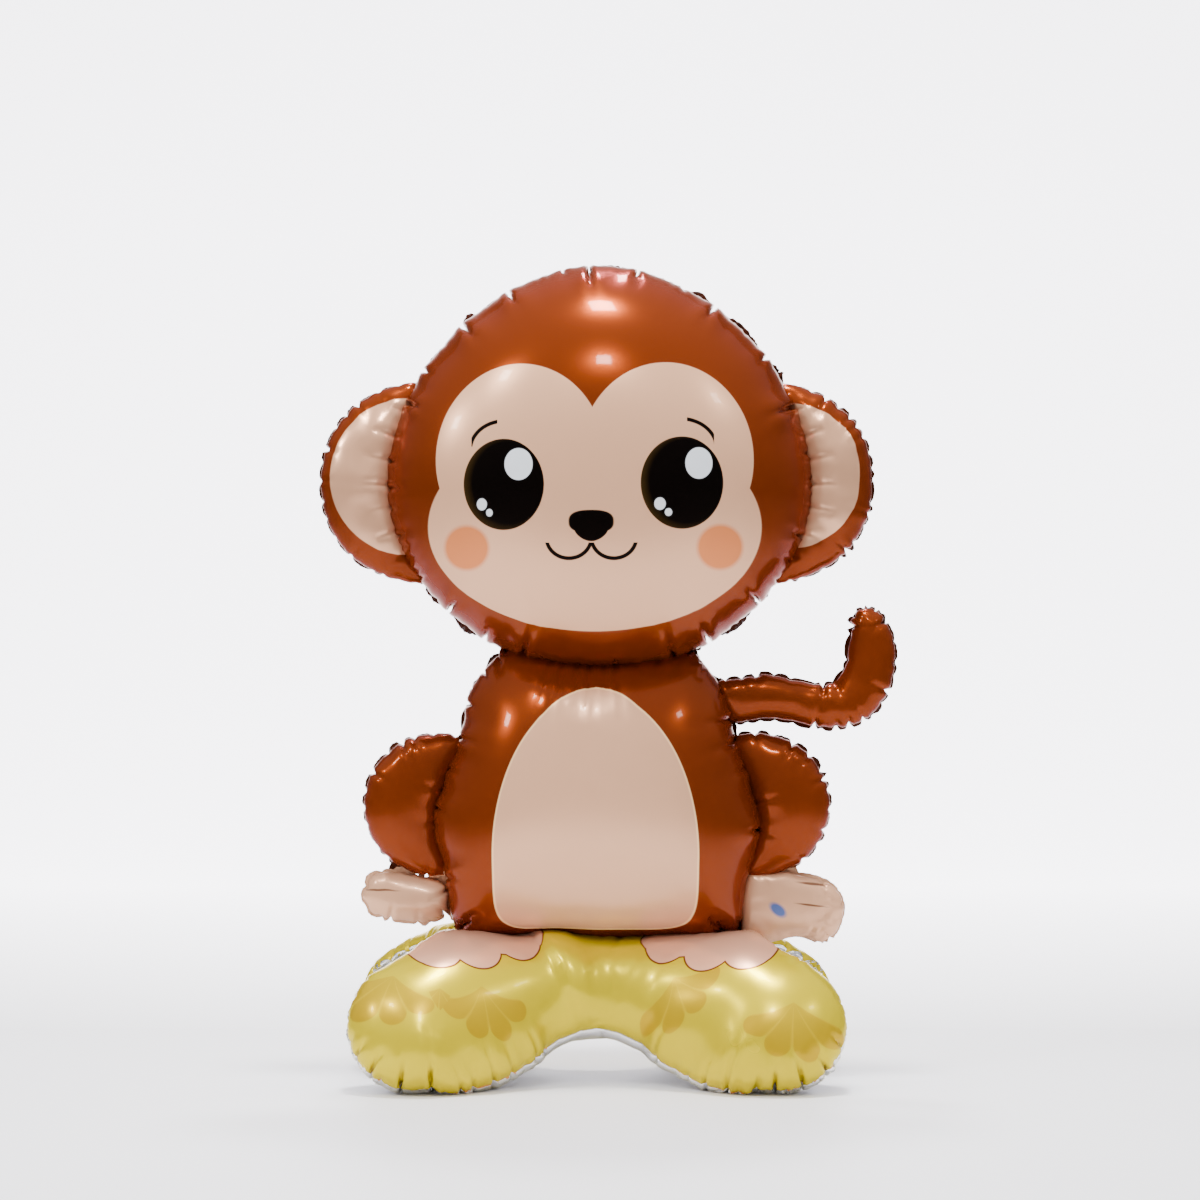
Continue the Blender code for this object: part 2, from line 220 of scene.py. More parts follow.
class Spaced:  # keeps points that aren't too near to those kept before
    def __init__(self):
        self.points, self.cells, self.size = [], {}, 0.004

    def add(self, candidates, spacing):
        reach = int(math.ceil(spacing / self.size))
        for x, y in candidates:
            cx, cy = int(math.floor(x / self.size)), int(math.floor(y / self.size))
            clear = True
            for i in range(cx - reach, cx + reach + 1):
                for j in range(cy - reach, cy + reach + 1):
                    for px, py in self.cells.get((i, j), ()):
                        if (px - x) ** 2 + (py - y) ** 2 < spacing * spacing:
                            clear = False
                            break
                    if not clear:
                        break
                if not clear:
                    break
            if clear:
                self.points.append((x, y))
                self.cells.setdefault((cx, cy), []).append((x, y))


def seamLines(outlines, sizes):  # points along every seal, the links between them, and the way out from each
    step = sizes["seamStep"]
    points, links, outward = np.zeros((0, 2)), [], np.zeros((0, 2))
    for number, outline in enumerate(outlines):
        spots = evenly(outline, step)
        along = wayAlong(spots)
        free = np.ones(len(spots), bool)
        for other in outlines[:number]:
            free &= ~inside(spots, other)
        if len(points):
            near, far = nearest(treeOf(points), spots)
            free &= far > sizes["joinUnder"] * step
        index = np.full(len(spots), -1)
        index[free] = len(points) + np.arange(free.sum())
        for i in range(len(spots)):
            j = (i + 1) % len(spots)
            if free[i] and free[j]:
                links.append((index[i], index[j]))
            elif free[i] or free[j]:
                own = i if free[i] else j
                links.append((index[own], near[own]))
        points = np.vstack([points, spots[free]])
        outward = np.vstack([outward, rightOf(along[free])])
    return points, links, outward


def cutSheet(outlines, sizes):  # the sealed lines, the flat rim outside them, and which pocket each area is
    step = sizes["seamStep"]
    seam, links, outward = seamLines(outlines, sizes)
    tree = treeOf(seam)
    spaced = Spaced()
    spaced.add(seam, 0)

    def pocketAt(points):
        found = np.full(len(points), -1)
        for number, outline in reversed(list(enumerate(outlines))):
            found[inside(points, outline)] = number
        return found

    for share in (0.5, 1):
        far = sizes["sealWidth"] * share
        rim = seam + outward * far
        rim = rim[(pocketAt(rim) < 0) & (nearest(tree, rim)[1] >= sizes["rimKeep"] * far)]
        spaced.add(rim, sizes["rimSpacing"] * step)
    result = geometry.delaunay_2d_cdt([Vector(p) for p in spaced.points], links, [], 0, 1e-7)
    points = np.array([tuple(v) for v in result[0]])
    tris, twiceArea, middle = anticlockwise(points, np.array(result[2]))
    label = pocketAt(middle)
    lengths = [np.linalg.norm(points[tris[:, i]] - points[tris[:, i - 1]], axis=1) for i in range(3)]
    rim = (label < 0) & (np.max(lengths, axis=0) < sizes["rimLongest"] * step) & (twiceArea > 1e-9)
    near, far = nearest(tree, points)
    return dict(
        points=points, rim=tris[rim], tris=tris, label=label,
        nearSeam=near, seamFar=far, seamWay=-rightOf(outward)[near], seam=seam,
    )


def figureOutlines(inset):
    shares = figureShares
    side = catmull(np.linspace(0, len(shares["bodyHalfWidths"]) - 1, 160), shares["bodyHalfWidths"]) * tall
    slope = np.gradient(side[:, 1], side[:, 0])
    widths = side[:, 1] - inset * np.sqrt(1 + slope**2)
    heights = np.linspace(inset, side[-1, 0] - inset, 120)
    right = np.column_stack([np.interp(heights, side[:, 0], widths), heights])
    body = np.vstack([right, right[::-1] * (-1, 1)])
    path = catmull(np.linspace(0, len(shares["tail"]) - 1, 120), shares["tail"]) * tall
    along = np.gradient(path[:, :2], axis=0)
    along /= np.linalg.norm(along, axis=1)[:, None]
    out = rightOf(along) * (path[:, 2:] - inset)
    turn = np.linspace(0, math.pi, 30)[1:-1, None]
    tip = path[-1, :2] + out[-1] * np.cos(turn) + along[-1] * (path[-1, 2] - inset) * np.sin(turn)
    tail = np.vstack([path[:, :2] + out, tip, (path[:, :2] - out)[::-1]])
    foot = oval(shares["foot"], 1, inset, shares["footTilt"])
    middle = foot.mean(axis=0)
    turns = np.degrees(np.arctan2(*(foot - middle).T[::-1])) % 360
    notch = sum(np.exp(-(((turns - at) / shares["toeNotchHalf"]) ** 2)) for at in shares["toeNotches"])
    foot = middle + (foot - middle) * (1 - shares["toeNotchDeep"] * notch)[:, None]
    closedTab = (*shares["tab"], shares["tab"][0])
    tab = catmull(np.linspace(0, len(closedTab) - 1, 160, endpoint=False), closedTab)[::-1] * tall
    return {
        "head": oval(shares["head"], inset=inset),
        "body": body,
        "leftEar": oval(shares["ear"], -1, inset), "rightEar": oval(shares["ear"], 1, inset),
        "leftHaunch": oval(shares["haunch"], -1, inset), "rightHaunch": oval(shares["haunch"], 1, inset),
        "foot": foot,
        "tab": shrunk(evenly(tab, 0.003), 0.002),
        "tail": tail,
    }


class Pairs:  # sums over a mesh's edges, which every solver below runs on
    def __init__(self, ends, count):
        self.a, self.b, self.count = ends[:, 0], ends[:, 1], count

    def gather(self, atA, atB):
        columns = []
        for i in range(atA.shape[1]):
            columns.append(
                np.bincount(self.a, atA[:, i], self.count) + np.bincount(self.b, atB[:, i], self.count)
            )
        return np.column_stack(columns)


def flatSolve(points, tris, fixed, values, source):  # source 1 blows the sheet up, 0 only spreads the values
    ends, weights = [], []
    for i, j, k in ((0, 1, 2), (1, 2, 0), (2, 0, 1)):
        u, v = points[tris[:, i]] - points[tris[:, k]], points[tris[:, j]] - points[tris[:, k]]
        cross = np.abs(u[:, 0] * v[:, 1] - u[:, 1] * v[:, 0]) + 1e-12
        ends.append(tris[:, [i, j]])
        weights.append(np.clip((u * v).sum(axis=1) / cross / 2, 0.02, 20))
    pairs = Pairs(np.vstack(ends), len(points))
    weight = np.concatenate(weights)[:, None]
    area = np.abs(np.linalg.det(np.stack([
        points[tris[:, 1]] - points[tris[:, 0]], points[tris[:, 2]] - points[tris[:, 0]]], axis=1))) / 2
    mass = sum(np.bincount(tris[:, i], area / 3, len(points)) for i in range(3))[:, None]
    diagonal = np.maximum(pairs.gather(weight, weight), 1e-9)
    free = ~fixed[:, None]

    def pull(x):
        return (diagonal * x - pairs.gather(weight * x[pairs.b], weight * x[pairs.a])) * free

    x = values * fixed[:, None]
    rest = (source * mass - (diagonal * x - pairs.gather(weight * x[pairs.b], weight * x[pairs.a]))) * free
    step = rest / diagonal
    way, old = step.copy(), (rest * step).sum(axis=0)
    enough = old * 1e-9 + 1e-30
    for _ in range(900):
        pulled = pull(way)
        share = old / np.maximum((way * pulled).sum(axis=0), 1e-30)
        x = x + share * way
        rest = rest - share * pulled
        step = rest / diagonal
        new = (rest * step).sum(axis=0)
        if (new < enough).all():
            break
        way, old = step + way * new / np.maximum(old, 1e-30), new
    return x


def filledProfile():  # a round foil balloon's cut: for each share of the flat radius, its radius and height
    lean = np.linspace(0, math.pi / 2, 400)
    gap = np.diff(lean)
    middle = (lean[1:] + lean[:-1]) / 2
    run = 1 / np.sqrt(1 + np.sin(middle) ** 2)
    flat = np.concatenate([[0], np.cumsum(run * gap)])
    drop = np.concatenate([[0], np.cumsum(np.sin(middle) ** 2 * run * gap)])
    return flat, np.sin(lean), drop[-1] - drop


flatRun, filledRadius, filledHeight = filledProfile()


def profile(q, tubeness):  # radius and height at the flat share q, each as a share of its own largest
    disc = np.interp(q * flatRun[-1], flatRun, filledRadius)
    discHeight = np.interp(q * flatRun[-1], flatRun, filledHeight) / filledHeight[0]
    tube, tubeHeight = np.sin(q * math.pi / 2), np.cos(q * math.pi / 2)
    ratio = (1 - tubeness) * flatRun[-1] + tubeness * math.pi / 2
    return disc + (tube - disc) * tubeness, discHeight + (tubeHeight - discHeight) * tubeness, ratio


def loopOf(tris):  # the one closed row of outer edges, walked anticlockwise
    ends = sidesOf(tris)
    known = {(int(a), int(b)) for a, b in ends}
    follow = {a: b for a, b in known if (b, a) not in known}
    loops = []
    while follow:
        here = next(iter(follow))
        loop = []
        while here in follow:
            loop.append(here)
            here = follow.pop(here)
        loops.append(loop)
    return np.array(max(loops, key=len))


def smoothLoop(values, turns):
    for _ in range(turns):
        values = values / 2 + (np.roll(values, 1, axis=0) + np.roll(values, -1, axis=0)) / 4
    return values


def widestAt(loop):  # the radius of the largest circle that fits in a pocket
    low, high = loop.min(axis=0), loop.max(axis=0)
    grid = np.meshgrid(*(np.linspace(low[i], high[i], 36) for i in (0, 1)))
    spots = np.stack(grid, axis=-1).reshape(-1, 2)
    return nearest(treeOf(loop), spots[inside(spots, loop)])[1].max()


def pocketPoints(flat, way, spread, start, sizes, rows):
    # a pocket's flat mesh points: its seam, rows down its long puckers, rings along the seam, then a lattice
    spaced = Spaced()
    spaced.add(flat, 0)
    tree, inward = treeOf(flat), -rightOf(way)
    for place, strength, reach in rows[rows[:, 2] > sizes["fineFrom"]]:
        at = np.abs(start - place).argmin()
        for offset in np.array(sizes["fineRows"]) * sizes["puckerHalf"]:
            run = np.arange(0.7 * spread, 1.25 * reach, sizes["fineStep"])[:, None]
            line = flat[at] + inward[at] * run + way[at] * offset * (1 + run / sizes["spreadOver"])
            line = line[inside(line, flat)]
            spaced.add(line[nearest(tree, line)[1] >= sizes["fineLeast"]], sizes["fineLeast"])
    far, coarse = 0, sizes["innerStep"]
    for number in range(sizes["rings"]):
        spacing = spread + (coarse - spread) * number / sizes["rings"]
        far += spacing * 0.87
        ring = flat + inward * far
        ring = ring[inside(ring, flat)]
        spaced.add(ring[nearest(tree, ring)[1] >= 0.96 * far], 0.82 * spacing)
    low, high = flat.min(axis=0), flat.max(axis=0)
    lattice = []
    for number, z in enumerate(np.arange(low[1], high[1], coarse * math.sqrt(0.75))):
        xs = np.arange(low[0] + (number % 2) * coarse / 2, high[0], coarse)
        lattice.append(np.column_stack([xs, np.full(len(xs), z)]))
    lattice = np.vstack(lattice)
    lattice = lattice[inside(lattice, flat)]
    spaced.add(lattice[nearest(tree, lattice)[1] >= far + 0.5 * coarse], 0.8 * coarse)
    return spaced.points, tree


def pocket(target, sizes, halfWidth, tubeness, rows):
    # target: where its seam points lie once it is full; rows: its puckers
    ratio = profile(np.zeros(1), tubeness)[2]
    spare = (ratio - 1) * halfWidth  # how far in the filling draws the seam
    flat = smoothLoop(target + spare * rightOf(smoothLoop(wayAlong(target), 4)), 6)
    way = np.roll(flat, -1, axis=0) - np.roll(flat, 1, axis=0)
    spread = np.linalg.norm(way, axis=1).mean() / 2
    way /= np.linalg.norm(way, axis=1)[:, None]
    start = arcOf(target)[0]
    spots, tree = pocketPoints(flat, way, spread, start, sizes, rows)
    count = len(flat)
    links = [(i, (i + 1) % count) for i in range(count)]
    result = geometry.delaunay_2d_cdt([Vector(p) for p in spots], links, [], 0, 1e-7)
    points = np.array([tuple(v) for v in result[0]])
    source = np.array([o[0] if len(o) else -1 for o in result[3]])
    if (source[:count] != np.arange(count)).any():
        print("seam points of a pocket ran together")
    tris, twiceArea, middle = anticlockwise(points, np.array(result[2]))
    tris = tris[inside(middle, flat) & (twiceArea > 1e-10)]
    fixed = np.zeros(len(points), bool)
    fixed[:count] = True
    blown = flatSolve(points, tris, fixed, np.zeros((len(points), 1)), 1.0)[:, 0]
    share = np.sqrt(np.clip(1 - blown / blown.max(), 0, 1))
    moved = np.zeros((len(points), 2))
    moved[:count] = target - flat
    moved = flatSolve(points, tris, fixed, moved, 0.0)
    radius, height, _ = profile(share, tubeness)
    pull = (share * ratio - radius) / np.maximum((ratio - 1) * share, 1e-6)
    pull[:count] = 1
    near, away = nearest(tree, points)
    slide = ((points - flat[near]) * way[near]).sum(axis=1)
    slide *= np.linalg.norm(np.roll(target, -1, axis=0) - target, axis=1).mean() / spread
    return dict(
        points=points, tris=tris, full=points + moved * pull[:, None], height=height, count=count,
        near=near, far=away, arc=start[near] + slide,
    )


def pairsOf(tris):
    return np.unique(np.sort(sidesOf(tris), axis=1), axis=0)


def foldPairs(tris):  # the two corners across each edge that two triangles share
    ends = sidesOf(tris)
    across = np.concatenate([tris[:, 2], tris[:, 0], tris[:, 1]])
    order = np.lexsort(np.sort(ends, axis=1).T)
    ends, across = np.sort(ends, axis=1)[order], across[order]
    same = (ends[1:] == ends[:-1]).all(axis=1)
    return np.column_stack([across[:-1][same], across[1:][same]])


def normalsOf(x, tris, faceOut):
    a, b, c = (x[tris[:, i]] for i in range(3))
    out = np.cross(b - a, c - a) * faceOut
    total = sum(
        np.column_stack([np.bincount(tris[:, i], out[:, k], len(x)) for k in range(3)]) for i in range(3)
    )
    return total / (np.linalg.norm(total, axis=1)[:, None] + 1e-12)


def arcOf(loop):
    gap = np.linalg.norm(np.roll(loop, -1, axis=0) - loop, axis=1)
    return np.concatenate([[0], np.cumsum(gap)[:-1]]), gap.sum()


def puckersOf(loop, known, half, sizes, chance):
    # the puckers along a pocket's seam: where each starts, how deep it is and how far in it runs
    arc, length = arcOf(loop)
    usual = sizes["puckerGap"] * np.clip(half / sizes["gapAt"], sizes["gapLeast"], sizes["gapMost"])
    deep = np.clip((half - sizes["thinHalf"]) / sizes["thickOver"], sizes["thinLeast"], 1)
    rows = []
    for across, up, reach, *strength in known:
        start = arc[np.linalg.norm(loop * 1000 - (across, up), axis=1).argmin()]
        rows.append((start, strength[0] if strength else 1.0, reach / 1000))
    at = 0.0
    while at < length - usual / 2:
        away = [abs((at - row[0] + length / 2) % length - length / 2) for row in rows]
        share = chance.uniform() ** 2
        if all(gap > sizes["clearOf"] * usual for gap in away):
            strength = sizes["strengthLeast"] + sizes["strengthSpan"] * share
            reach = sizes["reachLeast"] + sizes["reachSpan"] * share
            rows.append((at, strength * deep, reach * sizes["puckerReach"]))
        at += usual * chance.uniform(sizes["gapFrom"], sizes["gapTo"])
    return length, np.array(sorted(rows)), deep


def puckerAt(arc, far, length, rows, sizes):  # how deep a place lies in a pucker, and how far up its lobe
    places, strengths, reaches = rows.T
    after = np.searchsorted(places, arc) % len(places)
    before = (after - 1) % len(places)
    gaps = (arc - places[before]) % length, (places[after] - arc) % length
    lobe = np.sin(np.clip(gaps[0] / np.maximum(gaps[0] + gaps[1], 1e-6), 0, 1) * math.pi)
    wide = sizes["puckerHalf"] * (1 + far / sizes["spreadOver"])
    depth = 0
    for side, away in ((before, gaps[0]), (after, gaps[1])):
        share = away / wide
        bank = sizes["bankHeight"] * np.exp(-((share - sizes["bankAt"]) ** 2))
        notch = np.exp(-sizes["foldFall"] * share) - bank
        depth = depth + strengths[side] * notch * np.exp(-((far / reaches[side]) ** 2))
    return depth, lobe, before


def relax(x, tris, faceOut, ends, rest, folds, foldRest, pin, pinTo, floor, sizes):
    pairs, foldSums = Pairs(ends, len(x)), Pairs(folds, len(x))
    ease = sizes["ease"] / np.bincount(ends.reshape(-1), minlength=len(x))[:, None]
    foldEase = sizes["bend"] / np.bincount(folds.reshape(-1), minlength=len(x)).clip(1)[:, None]
    before = x.copy()
    for _ in range(sizes["turns"]):
        normal = normalsOf(x, tris, faceOut)
        step = np.clip(x - before, -sizes["stepMost"], sizes["stepMost"])
        before = x.copy()
        x = x + sizes["coast"] * step + sizes["pressure"] * normal
        for _ in range(sizes["inner"]):
            gap = x[ends[:, 1]] - x[ends[:, 0]]
            length = np.linalg.norm(gap, axis=1) + 1e-9
            off = length - rest
            push = gap * (np.where(off > 0, 0.5, 0.5 * sizes["give"]) * off / length)[:, None]
            x = x + ease * pairs.gather(push, -push)
        gap = x[folds[:, 1]] - x[folds[:, 0]]
        length = np.linalg.norm(gap, axis=1) + 1e-9
        off = np.minimum(length - foldRest, 0)
        push = gap * (off / length)[:, None]
        x = x + foldEase * foldSums.gather(push, -push)
        x = x + pin * (pinTo - x)
        x[:, 2] = np.maximum(x[:, 2], floor(x))
    return x


def rimRest(sheet, stretch):  # the rim's edges and lengths, which grow along the seal as the pockets' do
    ends, points = pairsOf(sheet["rim"]), sheet["points"]
    gap = points[ends[:, 1]] - points[ends[:, 0]]
    way = sheet["seamWay"][ends].mean(axis=1)
    way /= np.linalg.norm(way, axis=1)[:, None] + 1e-9
    grow = stretch[sheet["nearSeam"]][ends].mean(axis=1)
    along = (gap * way).sum(axis=1)
    return ends, np.sqrt((gap**2).sum(axis=1) + ((1 + grow) ** 2 - 1) * along**2)


def lobeRim(x, sheet, seamLobe, sizes):  # the sealed rim narrows at every pucker, and its lobes lean back
    points, seam = sheet["points"], sheet["nearSeam"]
    lobe = seamLobe[seam][:, None]
    above, aside = x[seam, 2] - seatZ - sizes["seatAbove"], x[seam, 0] - middleX
    under = (np.abs(above) < sizes["seatBand"]) & (np.abs(aside) < sizes["seatHalf"])
    lobe[under] = 1  # where the figure stands on its base the rim stays whole
    width = np.linalg.norm(points - points[seam], axis=1)[:, None]
    lean = np.array([[0, sizes["lobeLean"], 0]]) * lobe * width / sizes["sealWidth"]
    share = sizes["lobeLeast"] + (1 - sizes["lobeLeast"]) * lobe
    x[:len(points)] = x[seam] + (x[:len(points)] - x[seam]) * share + lean


def envelope(sheet, kinds, opened, place, sizes, puckers, seed, floor):
    # kinds: per pocket its half thickness and tubeness; opened: half gap at seam points that aren't sealed;
    # puckers: per pocket where its large puckers start, and how long they are
    chance = np.random.default_rng(seed)
    flat = sheet["points"]
    count = len(flat)
    gapAt = opened(flat)
    isOpen = gapAt > 0
    second = count + np.arange(isOpen.sum())  # the back film's own points where the seam is open
    back = np.arange(count)
    back[isOpen] = second
    total = count + len(second)
    flatAt, heightAt = [flat, flat[isOpen]], [-gapAt, gapAt[isOpen]]
    nearAt = [sheet["nearSeam"], sheet["nearSeam"][isOpen]]
    farAt = [sheet["seamFar"], sheet["seamFar"][isOpen] * 0]
    tris, sides = [sheet["rim"]], [np.zeros(len(sheet["rim"]), int)]
    ends, rest, loops = [], [], []
    stretch, seamDepth, seamLobe = np.zeros(count), np.zeros(count), np.zeros(count)
    depths, lobes = [np.zeros(total)], [np.zeros(total)]
    pocketOf = [np.full(total, -1)]
    for number, (half, tubeness) in enumerate(kinds):
        mine = sheet["tris"][sheet["label"] == number]
        loop = loopOf(mine)
        around, rows, deep = puckersOf(flat[loop], puckers[number], half, sizes, chance)
        made = pocket(flat[loop], sizes, widestAt(flat[loop]), tubeness, rows)
        inner, edge = slice(made["count"], None), slice(0, made["count"])
        added = len(made["points"]) - made["count"]
        front = np.concatenate([loop, total + np.arange(added)])
        behind = np.concatenate([back[loop], total + added + np.arange(added)])
        total += 2 * added
        local = made["tris"]
        tris += [front[local], behind[local][:, ::-1]]
        sides += [np.ones(len(local), int), np.full(len(local), 2)]
        localEnds = pairsOf(local)
        gap = made["points"][localEnds[:, 0]] - made["points"][localEnds[:, 1]]
        ends += [front[localEnds], behind[localEnds]]
        rest += [np.linalg.norm(gap, axis=1)] * 2
        cut = made["points"][edge]
        ring = np.linalg.norm(cut - np.roll(cut, -1, axis=0), axis=1)
        now = np.linalg.norm(flat[loop] - np.roll(flat[loop], -1, axis=0), axis=1)
        stretch[loop] = np.maximum(stretch[loop], smoothLoop(ring / now - 1, 3))
        flatAt += [made["full"][inner]] * 2
        heightAt += [-half * made["height"][inner], half * made["height"][inner]]
        pocketOf.append(np.full(2 * added, number))
        nearAt += [sheet["nearSeam"][loop[made["near"][inner]]]] * 2
        farAt += [made["far"][inner]] * 2
        depth, lobe, row = puckerAt(made["arc"], made["far"], around, rows, sizes)
        depths += [depth[inner]] * 2
        lobes += [lobe[inner] * deep] * 2
        seamDepth[loop] = depth[edge]
        growth = 1 + sizes["lobeGrowth"] * np.clip((half - sizes["lobeFrom"]) / sizes["lobeOver"], 0, 1)
        full = lobe * chance.uniform(sizes["lobeShort"], 1, len(rows))[row] * growth
        seamLobe[loop] = 1 + (full[edge] - 1) * deep
        loops.append(loop)
    tris, sides = np.vstack(tris), np.concatenate(sides)
    faceOut = (sides > 0).astype(float)[:, None]  # the air pushes on the pockets, and not on the rim
    near, far = np.concatenate(nearAt), np.concatenate(farAt)
    onRim = np.arange(total) < count
    rimEnds, rimLengths = rimRest(sheet, stretch)
    ends, inverse = np.unique(np.sort(np.vstack([*ends, rimEnds]), axis=1), axis=0, return_inverse=True)
    inverse = inverse.reshape(-1)
    rest = np.bincount(inverse, np.concatenate([*rest, rimLengths])) / np.bincount(inverse)
    home = place(np.vstack(flatAt), np.concatenate(heightAt))
    joins = np.bincount(np.concatenate(loops), minlength=count) > 1  # seam points that two pockets share
    depth, lobe = np.concatenate(depths), np.concatenate(lobes)
    depth[:count] = (seamDepth * ~joins)[sheet["nearSeam"]]
    fade = np.where(joins[near] & ~onRim, 1 - np.exp(-far / sizes["joinFade"]), 1)
    swell = lobe * np.exp(-far / sizes["swellReach"]) * (1 - np.exp(-far / sizes["swellFrom"])) * sizes["swell"]
    outward = swell - depth * (fade * sizes["puckerDepth"])

    def puckered(x, share):
        normal = normalsOf(x, tris, faceOut)
        normal[:count] = normal[:len(sheet["seam"])][sheet["nearSeam"]]
        return x + normal * (outward * share)[:, None]

    x = puckered(home, sizes["firstShare"])
    pin = np.where(onRim, sizes["hold"], 0.0)[:, None] * np.array([[1, sizes["holdAcross"], 1]])
    pinTo = x.copy()
    openAt = np.concatenate([np.nonzero(isOpen)[0], second])
    pin[openAt] = sizes["openHold"]
    pinTo[openAt] = home[openAt] + (x[openAt] - home[openAt]) * sizes["openShare"]
    folds = foldPairs(tris)
    foldRest = sizes["foldLeast"] * np.linalg.norm(home[folds[:, 0]] - home[folds[:, 1]], axis=1)
    x = relax(x, tris, faceOut, ends, rest, folds, foldRest, pin, pinTo, floor, sizes)
    x = puckered(x, 1.0)
    lobeRim(x, sheet, seamLobe, sizes)
    x[:, 2] = np.maximum(x[:, 2], floor(x))
    return dict(
        x=x, tris=tris, sides=sides, flat=np.vstack(flatAt), back=back, count=count, total=total, far=far,
        onRim=onRim, pocket=np.concatenate(pocketOf),
    )


def figurePlace(flat, height):  # from the sheet's plane to where it stands
    return np.column_stack([middleX + flat[:, 0], height, seatZ + flat[:, 1]])


def figureOpened(sheet):
    def opened(points):
        label, tris = sheet["label"], sheet["tris"]
        gap = np.zeros(len(points))
        # the head opens into the body, and the body into the tail
        for first, second, half in ((0, 1, foil["neckHalf"]), (1, 8, foil["tailRootHalf"])):
            touches = np.zeros((2, len(points)), bool)
            for row, number in enumerate((first, second)):
                touches[row][tris[label == number].reshape(-1)] = True
            both = np.nonzero(touches.all(axis=0))[0]
            spots = points[both]
            middle = spots.mean(axis=0)
            away = np.linalg.norm(spots - middle, axis=1)
            gap[both] = half * np.sqrt(np.clip(1 - (away / away.max()) ** 2, 0, 1))
        return gap
    return opened


def closedSkin(made, thickness):  # the front and back films, a film's thickness apart where they are sealed
    x, tris, sides = made["x"], made["tris"], made["sides"]
    count, total = made["count"], made["total"]
    rim, frontTris, backTris = (tris[sides == side] for side in (0, 1, 2))
    # each film has its own copy of the points that they share
    behind = np.arange(total)
    behind[:count] = np.where(made["back"] == np.arange(count), total + np.arange(count), made["back"])
    faces = np.vstack([frontTris, rim, behind[np.vstack([backTris, rim[:, ::-1]])]])
    points = np.vstack([x, x[:count]])
    used = np.zeros(len(points), bool)
    used[faces.reshape(-1)] = True
    known = {(int(a), int(b)) for a, b in np.vstack([sidesOf(rim), sidesOf(frontTris)])}
    edge = np.array([(a, b) for a, b in known if (b, a) not in known])
    wall = np.vstack([
        np.column_stack([edge[:, 1], edge[:, 0], behind[edge[:, 0]]]),
        np.column_stack([edge[:, 1], behind[edge[:, 0]], behind[edge[:, 1]]]),
    ])
    points = points + normalsOf(points, faces, 1) * thickness / 2
    isFront = np.zeros(len(points), bool)
    isFront[tris[sides <= 1].reshape(-1)] = True
    index = np.cumsum(used) - 1

    def forBoth(values):
        return np.concatenate([values, values[:count]])[used]

    marks = [forBoth(made[name]) for name in ("flat", "far", "onRim", "pocket")]
    return points[used], index[np.vstack([faces, wall])], isFront[used], *marks


def meshOf(name, points, faces):
    mesh = bpy.data.meshes.new(name)
    mesh.vertices.add(len(points))
    mesh.vertices.foreach_set("co", points.astype(np.float32).ravel())
    mesh.loops.add(faces.size)
    mesh.loops.foreach_set("vertex_index", faces.astype(np.int32).ravel())
    mesh.polygons.add(len(faces))
    mesh.polygons.foreach_set("loop_start", np.arange(0, faces.size, 3, dtype=np.int32))
    mesh.polygons.foreach_set("loop_total", np.full(len(faces), 3, dtype=np.int32))
    mesh.update(calc_edges=True)
    mesh.validate()
    mesh.shade_smooth()
    piece = bpy.data.objects.new(name, mesh)
    bpy.context.scene.collection.objects.link(piece)
    return piece


def setFloats(piece, name, values):
    piece.data.attributes.new(name, "FLOAT", "POINT").data.foreach_set("value", values.astype(np.float32))


def skinPiece(name, made):
    points, faces, isFront, flat, far, onRim, pocketOf = closedSkin(made, foil["thickness"])
    piece = meshOf(name, points, faces)
    sheetMap = piece.data.uv_layers.new(name="sheetMap")
    sheetMap.data.foreach_set("uv", flat[faces.reshape(-1)].astype(np.float32).ravel())
    setFloats(piece, "frontFilm", isFront.astype(float))
    setFloats(piece, "fromSeam", np.where(onRim, -far, far))
    setFloats(piece, "onEar", np.isin(pocketOf, (2, 3)).astype(float))
    print(name, "has", len(points), "points and", len(faces), "faces")
    return piece


# The base's cut, in its own sheet: across, and out from its middle line to the front and the back
baseShares = {
    "arch": ((0, 81), (41, 102), (64, 129), (95, 158), (120, 176), (150, 194)),
    "tipAcross": 175, "tipOut": 139, "tipRadius": 59, "tipStart": 86, "tipEnd": -58,
    "notch": 150, "notchBulge": 7,
    "legBend": (5, 65, 45, 100), "middleBend": (0, 75, 5, 70), "spread": 150,
    "middleHalf": 28, "notchDrop": 5, "legHalf": 61, "tubeness": 0.45,
}
basePuckers = (
    (-8, -81, 95, 0.22), (-24, -86, 16, 0.5), (10, -83, 16, 0.5), (-157, -197, 56), (-100, -163, 28, 0.9),
    (-131, -183, 24, 0.8), (-186, -197, 36, 0.9), (-212, -185, 26, 0.9), (-226, -168, 20, 0.8),
    (125, -181, 48), (104, -167, 22, 0.8), (170, -198, 32), (195, -194, 36), (148, -192, 18, 0.7),
    (216, -181, 20, 0.9), (228, -160, 18, 0.8), (60, -124, 26, 0.5), (-62, -126, 26, 0.5),
)
# The figure rests on a grid of the base's heights: its cells, its margin, and how far the films may sink in
seatGrid = {"cell": 0.004, "margin": 0.05, "sink": 0.003}


